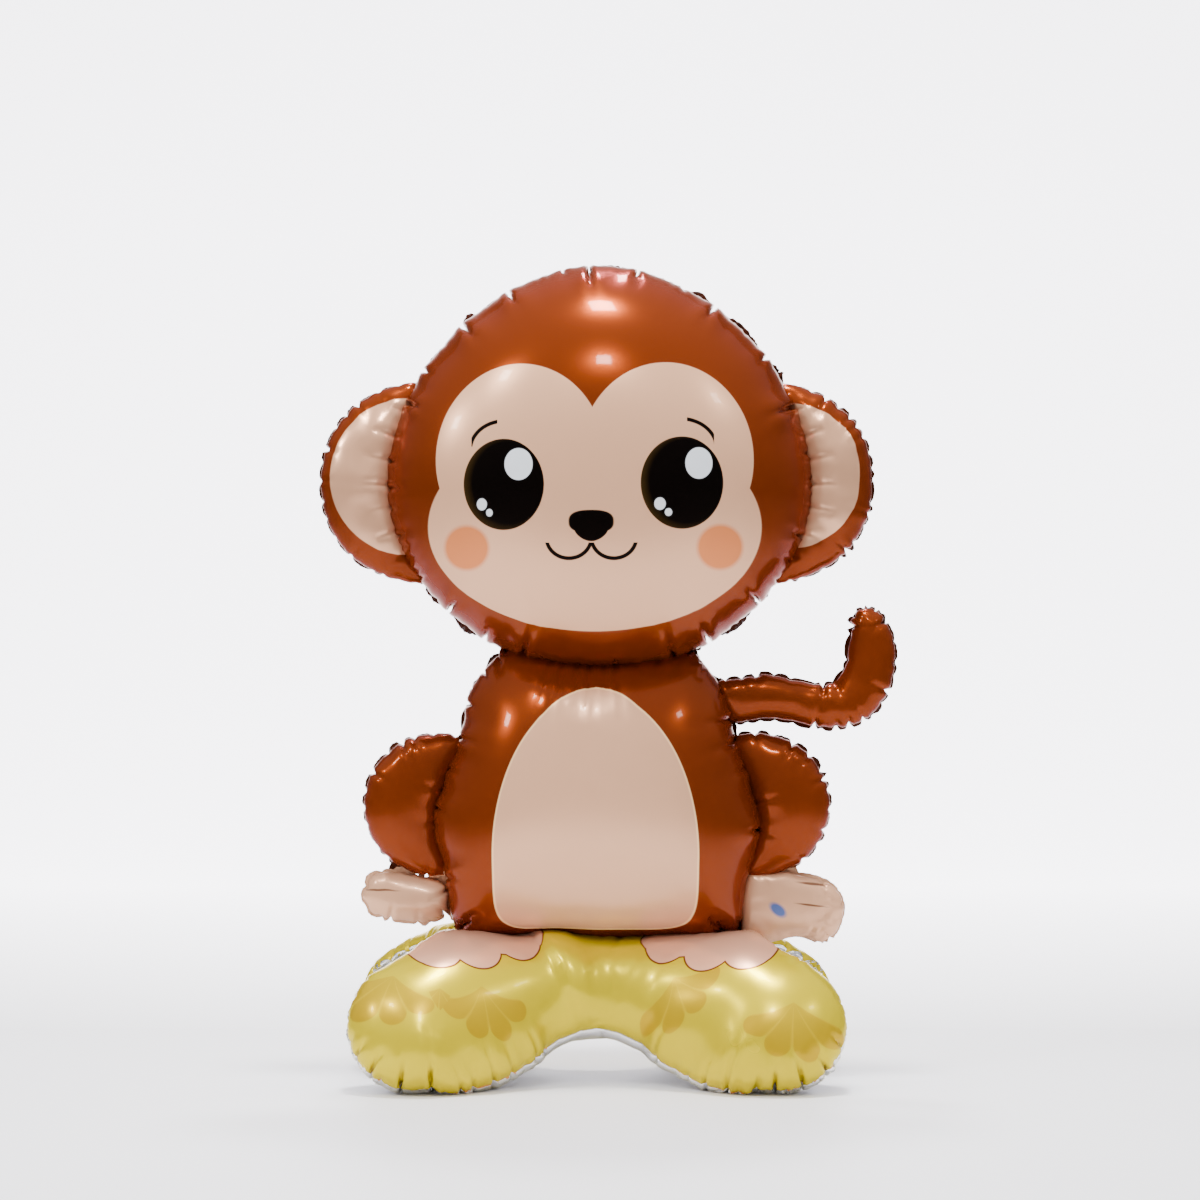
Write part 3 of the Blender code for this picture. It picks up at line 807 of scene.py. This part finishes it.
def baseOutlines():
    shares = baseShares
    turn = np.radians(np.linspace(shares["tipStart"], shares["tipEnd"], 60))
    tip = np.column_stack([np.cos(turn), np.sin(turn)]) * shares["tipRadius"]
    tip += (shares["tipAcross"], shares["tipOut"])
    arch = np.array(shares["arch"], float)
    mirrored = np.vstack([arch[:0:-1] * (-1, 1), arch, tip[:1]])
    arch = catmull(np.linspace(len(arch) - 1, len(mirrored) - 1, 120), mirrored)
    last = tip[-1]
    share = np.linspace(0, 1, 40)[1:, None]
    notch = last + (np.array([shares["notch"], 0]) - last) * share
    notch += np.array([-1, 0.6]) * shares["notchBulge"] * np.sin(share * math.pi)
    quarter = np.vstack([arch, tip[1:], notch])
    half = np.vstack([quarter[:0:-1] * (-1, 1), quarter])  # from the left notch round the front
    front = np.column_stack([half[:, 0], -half[:, 1]]) / 1000
    middle = np.linspace(shares["notch"], -shares["notch"], 120)[1:-1, None] * (0.001, 0)
    front = np.vstack([front, middle])
    return {"front": front, "back": (front * (1, -1))[::-1]}


def bendTable(bend):
    first, last, start, end = bend
    out = np.linspace(0, 320, 641)
    lean = np.radians(np.interp(out, (start, end), (first, last)))
    step = out[1] - out[0]
    ahead = np.concatenate([[0], np.cumsum(np.cos((lean[1:] + lean[:-1]) / 2) * step)])
    down = np.concatenate([[0], np.cumsum(np.sin((lean[1:] + lean[:-1]) / 2) * step)])
    return out / 1000, ahead / 1000, down / 1000, lean


def baseGap(across):  # half the thickness along the middle line, where the figure stands
    share = np.clip(np.abs(across) / baseShares["notch"] * 1000, 0, 1)
    return baseShares["middleHalf"] / 1000 * np.sqrt(1 - share**4)


def basePlace(flat, height):  # from the sheet's plane to where it stands, bent down over its legs
    across, out = np.abs(flat[:, 0]), np.abs(flat[:, 1])
    share = np.clip(across / (baseShares["spread"] / 1000), 0, 1)
    mix = share**2 * (3 - 2 * share)
    values = []
    for bend in (baseShares["middleBend"], baseShares["legBend"]):
        table = bendTable(bend)
        values.append([np.interp(out, table[0], column) for column in table[1:]])
    ahead, down, lean = (a + (b - a) * mix for a, b in zip(*values))
    side = np.where(flat[:, 1] > 0, 1, -1)
    top = seatZ - baseGap(across) - baseShares["notchDrop"] / 1000 * share**3
    y = side * (ahead - height * np.sin(lean))
    return np.column_stack([middleX + flat[:, 0], y, top - down - height * np.cos(lean)])


def makeBase():
    outlines = baseOutlines()
    sheet = cutSheet(list(outlines.values()), foil)
    half = baseShares["legHalf"] / 1000
    kinds = [(half, baseShares["tubeness"])] * 2

    def opened(points):
        within = np.abs(points[:, 0]) < baseShares["notch"] / 1000 - 0.001
        return np.where((np.abs(points[:, 1]) < 1e-5) & within, baseGap(points[:, 0]), 0)

    back = [(across, -out, *others) for across, out, *others in basePuckers]
    made = envelope(sheet, kinds, opened, basePlace, foil, (basePuckers, back), 8, lambda x: 0.0004)
    return skinPiece("baseFoil", made), made


def topOf(made):  # how high the base reaches under each spot, as a grid
    x, cell, margin = made["x"], seatGrid["cell"], seatGrid["margin"]
    size = np.array([np.ceil((baseHigh[i] - baseLow[i] + 2 * margin) / cell) for i in (0, 1)]).astype(int) + 1

    def cellOf(points):
        return np.floor((points[:, :2] - (baseLow[0] - margin, baseLow[1] - margin)) / cell).astype(int)

    at = np.clip(cellOf(x), 0, size - 1)
    grid = np.zeros(size)
    np.maximum.at(grid, (at[:, 0], at[:, 1]), x[:, 2])
    spread = grid.copy()
    for i in (-1, 0, 1):
        for j in (-1, 0, 1):
            spread = np.maximum(spread, np.roll(grid, (i, j), axis=(0, 1)))

    def floor(points):
        at = cellOf(points)
        within = ((at >= 0) & (at < size)).all(axis=1)
        at = np.clip(at, 0, size - 1)
        return np.where(within, spread[at[:, 0], at[:, 1]] - seatGrid["sink"], 0)
    return floor


def makeFigure(floor):
    outlines = figureOutlines(foil["sealWidth"])
    sheet = cutSheet(list(outlines.values()), foil)
    kinds = [(half * tall, tubeness) for half, tubeness in (figurePockets[name] for name in outlines)]
    puckers = [figurePuckers[name] for name in outlines]
    made = envelope(sheet, kinds, figureOpened(sheet), figurePlace, foil, puckers, 3, floor)
    return skinPiece("figureFoil", made)


class Wire:  # a socket that Python's operators work on
    def __init__(self, shade, socket):
        self.shade, self.socket = shade, socket

    def maths(self, operation, *others, flipped=False):
        values = (others[0], self) if flipped else (self, *others)
        return self.shade.add("ShaderNodeMath", {"operation": operation}, values)

    def __add__(self, other):
        return self.maths("ADD", other)

    def __sub__(self, other):
        return self.maths("SUBTRACT", other)

    def __rsub__(self, other):
        return self.maths("SUBTRACT", other, flipped=True)

    def __mul__(self, other):
        return self.maths("MULTIPLY", other)

    def __truediv__(self, other):
        return self.maths("DIVIDE", other)

    def __rtruediv__(self, other):
        return self.maths("DIVIDE", other, flipped=True)

    def __pow__(self, other):
        return self.maths("POWER", other)

    def __neg__(self):
        return self.maths("MULTIPLY", -1)

    def __lt__(self, other):
        return self.maths("LESS_THAN", other)

    def __gt__(self, other):
        return self.maths("GREATER_THAN", other)

    __radd__, __rmul__ = __add__, __mul__

    def output(self, number):
        return Wire(self.shade, self.socket.node.outputs[number])

    def size(self):
        return self.maths("ABSOLUTE")

    def most(self, other):
        return self.maths("MAXIMUM", other)

    def clamped(self):
        return self.shade.add("ShaderNodeClamp", {}, (self,))


class Shade:  # one material's node tree
    def __init__(self, name):
        self.material = bpy.data.materials.new(name)
        self.material.use_nodes = True
        self.tree = self.material.node_tree
        self.surface = self.tree.nodes["Principled BSDF"]

    def add(self, kind, settings, inputs, output=0):
        node = self.tree.nodes.new(kind)
        for name, value in settings.items():
            setattr(node, name, value)
        pairs = inputs.items() if isinstance(inputs, dict) else enumerate(inputs)
        for name, value in pairs:
            self.give(node.inputs[name], value)
        return Wire(self, node.outputs[output])

    def give(self, socket, value):
        if isinstance(value, Wire):
            self.tree.links.new(value.socket, socket)
        else:
            socket.default_value = value

    def finish(self, **values):
        for name, value in values.items():
            self.give(self.surface.inputs[name.replace("_", " ")], value)
        return self.material

    def sheetPlace(self):  # millimetres across and up the sheet
        place = self.add("ShaderNodeUVMap", {"uv_map": "sheetMap"}, ())
        parts = self.add("ShaderNodeSeparateXYZ", {}, (place,))
        return parts * 1000, parts.output(1) * 1000

    def attribute(self, name):
        return self.add("ShaderNodeAttribute", {"attribute_name": name}, (), "Fac")

    def mixed(self, mask, first, second):
        return self.add("ShaderNodeMix", {"data_type": "RGBA"}, {0: mask, 6: first, 7: second}, 2)

    def noise(self, scale, detail, vector):
        return self.add("ShaderNodeTexNoise", {}, {"Scale": scale, "Detail": detail, "Vector": vector})

    def objectPlace(self):
        return self.add("ShaderNodeTexCoord", {}, (), "Object")


def paint(red, green, blue):  # screen values to the linear ones that a shader takes
    shares = [value / 255 for value in (red, green, blue)]
    return (*(v / 12.92 if v <= 10 / 255 else ((v + 0.055) / 1.055) ** 2.4 for v in shares), 1.0)


def spot(x, z, across, up, halfWidth, halfHeight, power=2.0, soft=0.7, turned=0):
    # a printed oval, 1 inside and 0 outside, all in millimetres
    c, s = math.cos(math.radians(turned)), math.sin(math.radians(turned))
    dx, dz = x - across, z - up
    u = ((dx * c + dz * s) / halfWidth).size()
    v = ((dz * c - dx * s) / halfHeight).size()
    far = (u**power + v**power) ** (1 / power)
    return ((1 - far) * (min(halfWidth, halfHeight) / soft) + 0.5).clamped()


def either(first, *others):
    for other in others:
        first = first.most(other)
    return first


def stroke(x, z, across, up, halfWidth, halfHeight, thick):  # an oval line
    outer = spot(x, z, across, up, halfWidth + thick / 2, halfHeight + thick / 2)
    return outer * (1 - spot(x, z, across, up, halfWidth - thick / 2, halfHeight - thick / 2))


# The figure's prints, in millimetres on its sheet: across, up, half width, half height
facePrint = {
    "lobes": ((-70, 470, 78, 87), (64, 470, 80, 88), (-2, 407, 154, 95)),
    "eyes": ((-84.7, 446.6, 36.9, 41.2), (77.7, 448.1, 37.8, 41.7)),
    "eyeEdgeMoved": (4.5, 1.5), "eyeEdgeSoft": 7, "eyeEdgeShare": 0.75,
    "lights": (
        (-71, 464.8, 12.8, 14.4), (92.9, 465.8, 12.4, 14.2), (-104.8, 428.6, 4.6, 5.4),
        (57.4, 429, 5.2, 5.6), (-97.9, 421, 3, 3.4), (65.2, 421.4, 3.3, 3.5),
    ),
    "cheeks": ((-119.6, 389.1, 20.8, 20.2), (113.2, 389.8, 21.3, 20.4)), "cheekSoft": 4, "cheekShare": 0.85,
    "nose": ((-5, 412.9, 20.6, 10.5, 2.6), (-5, 407.8, 16.068, 12.88, 1.75)),  # the last is how square it is
    "mouth": ((-25.3, 398.4, 20.4, 18.8), (15.6, 398.4, 20.4, 18.8)), "mouthLine": 3.6, "mouthTop": -4.5,
    # the last two are where each brow's line starts and ends, from its oval's middle
    "brows": ((-84.5, 478, 31, 26, -30, -6), (76, 480, 33, 26, 6, 31)), "browLine": 3.6, "browFoot": 3,
}
bodyPrint = {
    "ears": ((-166, 455.5, 93, 77, 2.15), (170, 456.5, 86, 73, 2.15)),
    "belly": (-1.5, 89, 95, 153, 71.5), "bellySquare": 5.6, "bellyEdge": 1.6,
    "feet": (-141, 71, 144, 70),  # how far out, and below what height, the left and the right foot are pale
    "toeLines": ((-211, 49.5, 14.5, 2), (211, 52, 13, -9), (210.5, 35, 13.5, -8)), "toeLineHalf": 0.9,
    "toeShare": 0.8, "ink": (178, 31, 9, 5), "inkTurned": -38, "inkSoft": 2.5, "inkShare": 0.9,
}
foilPaint = {
    # the rim's near-black paint is painted shade for the scalloped seal, darker than the printed brown
    "brown": paint(116, 45, 8), "deepBrown": paint(68, 26, 6), "rimPaintedShade": paint(30, 12, 7),
    "peach": paint(220, 168, 132), "edgePeach": paint(246, 202, 148), "black": paint(3, 2, 2),
    "olive": paint(48, 34, 12), "eyeLight": paint(214, 219, 224), "cheek": paint(204, 108, 46),
    "yellow": paint(206, 186, 0), "deepYellow": paint(194, 172, 0), "banana": paint(176, 140, 0),
    "bananaLine": paint(214, 182, 10), "toe": paint(218, 164, 134), "outline": paint(96, 44, 16),
    "gold": paint(232, 150, 74), "silver": paint(222, 222, 226), "ink": paint(42, 92, 160),
}
# How both films look: clouding and crumpling of the foil, and how far from a seal it crumples (millimetres)
filmLook = {"cloudSize": 9.0, "crumpleSize": 160.0, "crumpleOver": 16, "rimFrom": -0.0005}


def printedFace(shade, x, z, front, colour):  # also where it is pale, and where it is black
    face = either(*(spot(x, z, *lobe) for lobe in facePrint["lobes"])) * front
    colour = shade.mixed(face, colour, foilPaint["peach"])
    for cheek in facePrint["cheeks"]:
        blush = spot(x, z, *cheek, soft=facePrint["cheekSoft"]) * front * facePrint["cheekShare"]
        colour = shade.mixed(blush, colour, foilPaint["cheek"])
    dark = []
    movedX, movedZ = facePrint["eyeEdgeMoved"]
    for across, up, *halves in facePrint["eyes"]:
        eye = spot(x, z, across, up, *halves) * front
        edge = eye * (1 - spot(x, z, across + movedX, up + movedZ, *halves, soft=facePrint["eyeEdgeSoft"]))
        colour = shade.mixed(eye, colour, foilPaint["black"])
        colour = shade.mixed(edge * facePrint["eyeEdgeShare"], colour, foilPaint["olive"])
        dark.append(eye)
    for light in facePrint["lights"]:
        colour = shade.mixed(spot(x, z, *light) * front, colour, foilPaint["eyeLight"])
    lines = [spot(x, z, *part) for part in facePrint["nose"]]
    for across, up, *halves in facePrint["mouth"]:
        arc = stroke(x, z, across, up, *halves, facePrint["mouthLine"])
        lines.append(arc * (z < up + facePrint["mouthTop"]))
    for across, up, halfWidth, halfHeight, start, end in facePrint["brows"]:
        arc = stroke(x, z, across, up, halfWidth, halfHeight, facePrint["browLine"])
        lines.append(arc * ((x > across + start) * (x < across + end)) * (z > up + facePrint["browFoot"]))
    lines = either(*lines) * front
    return shade.mixed(lines, colour, foilPaint["black"]), face, either(*dark, lines)


def bellyShape(x, z, inset):
    across, up, halfWidth, rise, drop = bodyPrint["belly"]
    top = spot(x, z, across, up, halfWidth - inset, rise - inset) * (z > up - 0.01)
    low = spot(x, z, across, up, halfWidth - inset, drop - inset, bodyPrint["bellySquare"]) * (z < up)
    return either(top, low)


def printedBody(shade, x, z, front, colour):  # also where its belly and its feet are
    ears = either(*(spot(x, z, *ear) for ear in bodyPrint["ears"])) * (shade.attribute("onEar") > 0.4)
    colour = shade.mixed(ears * front, colour, foilPaint["peach"])
    belly = bellyShape(x, z, 0) * front
    colour = shade.mixed(belly, colour, foilPaint["edgePeach"])
    colour = shade.mixed(bellyShape(x, z, bodyPrint["bellyEdge"]) * front, colour, foilPaint["peach"])
    leftOut, leftTop, rightOut, rightTop = bodyPrint["feet"]
    feet = ((z < leftTop) * (x < leftOut) + (z < rightTop) * (x > rightOut)).clamped()
    colour = shade.mixed(feet, colour, foilPaint["peach"])
    toes = [
        spot(x, z, across, up, long, bodyPrint["toeLineHalf"], turned=turned)
        for across, up, long, turned in bodyPrint["toeLines"]
    ]
    colour = shade.mixed(either(*toes) * front * bodyPrint["toeShare"], colour, foilPaint["deepBrown"])
    ink = spot(x, z, *bodyPrint["ink"], turned=bodyPrint["inkTurned"], soft=bodyPrint["inkSoft"])
    return shade.mixed(ink * front * bodyPrint["inkShare"], colour, foilPaint["ink"]), belly, feet


def crinkled(shade, rim, strength, depth):  # the foil crumples finely beside its seals
    crumple = shade.noise(filmLook["crumpleSize"], 2.0, shade.objectPlace())
    height = crumple * (1 - (rim / filmLook["crumpleOver"]).clamped())
    return shade.add("ShaderNodeBump", {}, {"Strength": strength, "Distance": depth, "Height": height})


def figureFoil():
    shade = Shade("figureFoil")
    x, z = shade.sheetPlace()
    front, rim = shade.attribute("frontFilm") > 0.5, shade.attribute("fromSeam") * 1000
    colour, face, dark = printedFace(shade, x, z, front, foilPaint["brown"])
    colour, belly, feet = printedBody(shade, x, z, front, colour)
    cloud = shade.noise(filmLook["cloudSize"], 3.0, shade.objectPlace())
    onRim = rim < filmLook["rimFrom"]
    # painted shade: the sealed rim is darkened nearly to black over its printed brown, less on the pale feet
    colour = shade.mixed(onRim * (1 - feet * 0.75) * 0.85, colour, foilPaint["rimPaintedShade"])
    clouded = (cloud - 0.35).clamped() * 0.3 * (1 - either(face, belly))
    pale = either(face, belly, feet)
    return shade.finish(
        Base_Color=shade.mixed(clouded, colour, foilPaint["deepBrown"]),
        Metallic=(0.5 - pale * 0.2) * (1 - dark) * (1 - onRim * 0.6),
        Roughness=0.2 + cloud * 0.06 + pale * 0.06 + dark * 0.1 + onRim * 0.08,
        Specular_IOR_Level=0.06, Specular_Tint=(0.55, 0.3, 0.2, 1),
        Coat_Weight=(0.15 - dark * 0.12) * (1 - onRim * 0.8), Coat_Roughness=0.05,
        Normal=crinkled(shade, rim, 0.35, 0.0006),
    )


# The base's prints, in millimetres on its sheet
basePrint = {
    # each bunch's stem, and the way its fan of fingers points, in degrees
    "bunches": (
        (-196, -104, -105), (-119, -98, -72), (81, -77, -75), (189, -131, -98),
        (-160, 100, 80), (-42, 62, 100), (70, 78, 75), (176, 112, 95),
    ),
    # the fan's half angle, its fingers, how they curl together and how round their tips are
    "fingers": 4, "fanHalf": 54, "fingerLong": 47, "curl": 0.33, "tip": 0.3, "bunchReach": 51,
    "lineHalf": 0.28, "lineShare": 0.6, "stemShare": 0.55, "tipShare": 0.3,
    "toes": ((80, -37, 25, 24), (121, -57, 27, 26), (157, -67, 25, 25), (116, -24, 66, 38)),
    "toesAcross": -4, "toesBack": 8, "toeLine": 1.6, "goldRim": -2.6,
}


def printedBunches(shade, x, out, colour):
    long, fan = basePrint["fingerLong"], math.radians(basePrint["fanHalf"])
    u, v = 0.0, 0.0
    for across, stem, turned in basePrint["bunches"]:
        c, d = math.cos(math.radians(turned)), math.sin(math.radians(turned))
        dx, dy = x - across, out - stem
        mask = (dx * dx + dy * dy) < basePrint["bunchReach"] ** 2
        u = mask * (dx * c + dy * d) + u
        v = mask * (dy * c - dx * d) + v
    far = (u * u + v * v) ** 0.5
    share = v.maths("ARCTAN2", u) / (2 * fan) * (1 - far * (basePrint["curl"] / long)) + 0.5
    ridge = (share * (basePrint["fingers"] * math.pi)).maths("SINE").size()
    reach = (ridge**0.5 * basePrint["tip"] + (1 - basePrint["tip"])) * long
    bunch = (reach - far + 0.5).clamped() * (share > 0) * (share < 1) * (far > 0.5)
    fill = bunch * (far / long * basePrint["tipShare"] + basePrint["stemShare"])
    colour = shade.mixed(fill, colour, foilPaint["banana"])
    lines = bunch * (1 - ridge / basePrint["lineHalf"]).clamped() * basePrint["lineShare"]
    return shade.mixed(lines, colour, foilPaint["bananaLine"])


def printedToes(shade, x, out, colour):  # the figure's hanging toes, the same on both sides
    sideways, here = (x - basePrint["toesAcross"]).size(), out < basePrint["toesBack"]
    for inset, tone in ((0, "outline"), (basePrint["toeLine"], "toe")):
        toes = [
            spot(sideways, out, across, middle, halfWidth - inset, halfLong - inset)
            for across, middle, halfWidth, halfLong in basePrint["toes"]
        ]
        colour = shade.mixed(either(*toes) * here, colour, foilPaint[tone])
    return colour


def baseFoil():
    shade = Shade("baseFoil")
    x, out = shade.sheetPlace()
    front, rim = shade.attribute("frontFilm") > 0.5, shade.attribute("fromSeam") * 1000
    cloud = shade.noise(filmLook["cloudSize"], 3.0, shade.objectPlace())
    colour = shade.mixed(cloud, foilPaint["yellow"], foilPaint["deepYellow"])
    colour = printedToes(shade, x, out, printedBunches(shade, x, out, colour))
    onRim = rim < filmLook["rimFrom"]
    bareRim = onRim * (rim < basePrint["goldRim"])
    colour = shade.mixed(onRim * (rim > basePrint["goldRim"]), colour, foilPaint["gold"])
    colour = shade.mixed(bareRim, colour, foilPaint["silver"])
    return shade.finish(
        Base_Color=shade.mixed(front, foilPaint["silver"], colour),
        Metallic=0.42 + either(1 - front, bareRim) * 0.55, Roughness=0.24 + cloud * 0.05,
        Specular_IOR_Level=0.1, Specular_Tint=(0.9, 0.82, 0.4, 1),
        Coat_Weight=0.1, Coat_Roughness=0.05, Normal=crinkled(shade, rim, 0.3, 0.0005),
    )


studio = {
    "cameraX": -0.008, "cameraY": -3.6, "cameraZ": 0.4718, "lens": 109.3,
    "sky": 1.6, "horizon": 0.22, "skyTint": (0.97, 0.97, 1.0, 1),
    "floorReach": 5.0, "backAt": 2.4, "sweep": 1.2, "backHigh": 4.5, "wallGlow": 4.2,
    "floorPaints": (paint(246, 245, 248), paint(250, 249, 252)), "floorShadePaint": paint(112, 110, 112),
    "glowPaint": paint(244, 242, 248), "floorShadeShare": 0.85,
    # where the floor's painted shade starts and over how far: aside, wider at the back, and towards the camera
    "dimAside": 0.7, "dimWiden": 0.15, "dimAsideOver": 0.9, "dimAhead": 0.8, "dimAheadOver": 1.2,
    # where the backdrop glows: from this far back, and up to this far aside and this high
    "glowFrom": 0.4, "glowOver": 2, "glowAside": 1.95, "glowHigh": 2.5, "glowEdge": 0.7,
    "lampsAimAt": 0.42,
    # each lamp's place, width, and power
    "lamps": (
        ((0.05, -1.7, 2.1), 0.2, 18), ((0.05, -0.35, 3.1), 0.4, 100), ((0.05, 1.1, 2.6), 0.35, 50),
        ((-1.25, -1.15, 1.95), 0.18, 14), ((-1.75, -0.75, 1.35), 0.16, 9), ((1.5, -1.1, 1.7), 0.15, 4),
    ),
}


def makeFloor():  # a floor that sweeps up into a backdrop
    turn = np.linspace(0, math.pi / 2, 24)
    sweep, back, reach = studio["sweep"], studio["backAt"], studio["floorReach"]
    profileY = np.concatenate([[-reach - 2], back + sweep * np.sin(turn), [back + sweep]])
    profileZ = np.concatenate([[0], sweep * (1 - np.cos(turn)), [studio["backHigh"]]])
    points = [(x, y, z) for y, z in zip(profileY, profileZ) for x in (-reach, reach)]
    faces = [(2 * i, 2 * i + 1, 2 * i + 3, 2 * i + 2) for i in range(len(profileY) - 1)]
    mesh = bpy.data.meshes.new("floor")
    mesh.from_pydata(points, [], faces)
    mesh.shade_smooth()
    floor = bpy.data.objects.new("floor", mesh)
    bpy.context.scene.collection.objects.link(floor)
    mesh.materials.append(paleFloor())


def paleFloor():  # pale round the object and glowing behind it, darkened with painted shade where a camera in front sees nothing
    shade = Shade("paleFloor")
    grain = shade.noise(3.0, 2.0, shade.objectPlace())
    place = shade.add("ShaderNodeSeparateXYZ", {}, (shade.objectPlace(),))
    across, depth, high = place.size(), place.output(1), place.output(2)
    aside = (across - studio["dimAside"] - depth.most(0) * studio["dimWiden"]) / studio["dimAsideOver"]
    ahead = (-depth - studio["dimAhead"]) / studio["dimAheadOver"]
    # painted shade: the floor is painted grey aside and towards the camera, so the foil reflects a darker room
    dim = aside.clamped().most(ahead.clamped()) * studio["floorShadeShare"]
    tone = shade.mixed(dim, shade.mixed(grain, *studio["floorPaints"]), studio["floorShadePaint"])
    glow = ((depth - studio["glowFrom"]) / studio["glowOver"]).clamped()
    glow = glow * ((studio["glowAside"] - across) / studio["glowEdge"]).clamped()
    glow = glow * ((studio["glowHigh"] - high) / studio["glowEdge"]).clamped()
    return shade.finish(
        Base_Color=tone, Roughness=0.55 + grain * 0.05, Emission_Strength=studio["wallGlow"],
        Emission_Color=shade.mixed(glow, (0, 0, 0, 1), studio["glowPaint"]),
    )


def makeLight():  # a sky that brightens upwards, and soft lamps
    world = bpy.data.worlds.new("studioLight")
    world.use_nodes = True
    bpy.context.scene.world = world
    nodes, links = world.node_tree.nodes, world.node_tree.links
    light = nodes["Background"].inputs
    upward = nodes.new("ShaderNodeSeparateXYZ")
    links.new(nodes.new("ShaderNodeTexCoord").outputs["Generated"], upward.inputs[0])
    strength = nodes.new("ShaderNodeMapRange")
    limits = {"From Min": -0.1, "From Max": 0.9, "To Min": studio["horizon"], "To Max": studio["sky"]}
    for socket, value in limits.items():
        strength.inputs[socket].default_value = value
    links.new(upward.outputs[2], strength.inputs["Value"])
    links.new(strength.outputs[0], light["Strength"])
    light["Color"].default_value = studio["skyTint"]
    aim = Vector((middleX, 0, studio["lampsAimAt"]))
    for place, size, power in studio["lamps"]:
        lamp = bpy.data.lights.new("softLamp", "AREA")
        lamp.shape, lamp.size, lamp.energy = "SQUARE", size, power
        holder = bpy.data.objects.new("softLamp", lamp)
        holder.location = place
        holder.rotation_euler = (aim - Vector(place)).to_track_quat("-Z", "Y").to_euler()
        bpy.context.scene.collection.objects.link(holder)


def makeCamera():
    camera = bpy.data.cameras.new("camera")
    camera.lens = studio["lens"]
    camera.sensor_width = 36
    holder = bpy.data.objects.new("camera", camera)
    holder.location = (studio["cameraX"], studio["cameraY"], studio["cameraZ"])
    holder.rotation_euler = (math.pi / 2, 0, 0)
    bpy.context.scene.collection.objects.link(holder)
    bpy.context.scene.camera = holder


makeFloor()
makeLight()
makeCamera()
print("studio ready")
base, madeBase = makeBase()
figure = makeFigure(topOf(madeBase))
for piece, node, slot, material in (
    (figure, "figure", "figure_foil", figureFoil()), (base, "base", "base_foil", baseFoil()),
):
    piece.data.materials.append(material)
    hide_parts(node)
    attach(piece, "root")
print("films coloured")
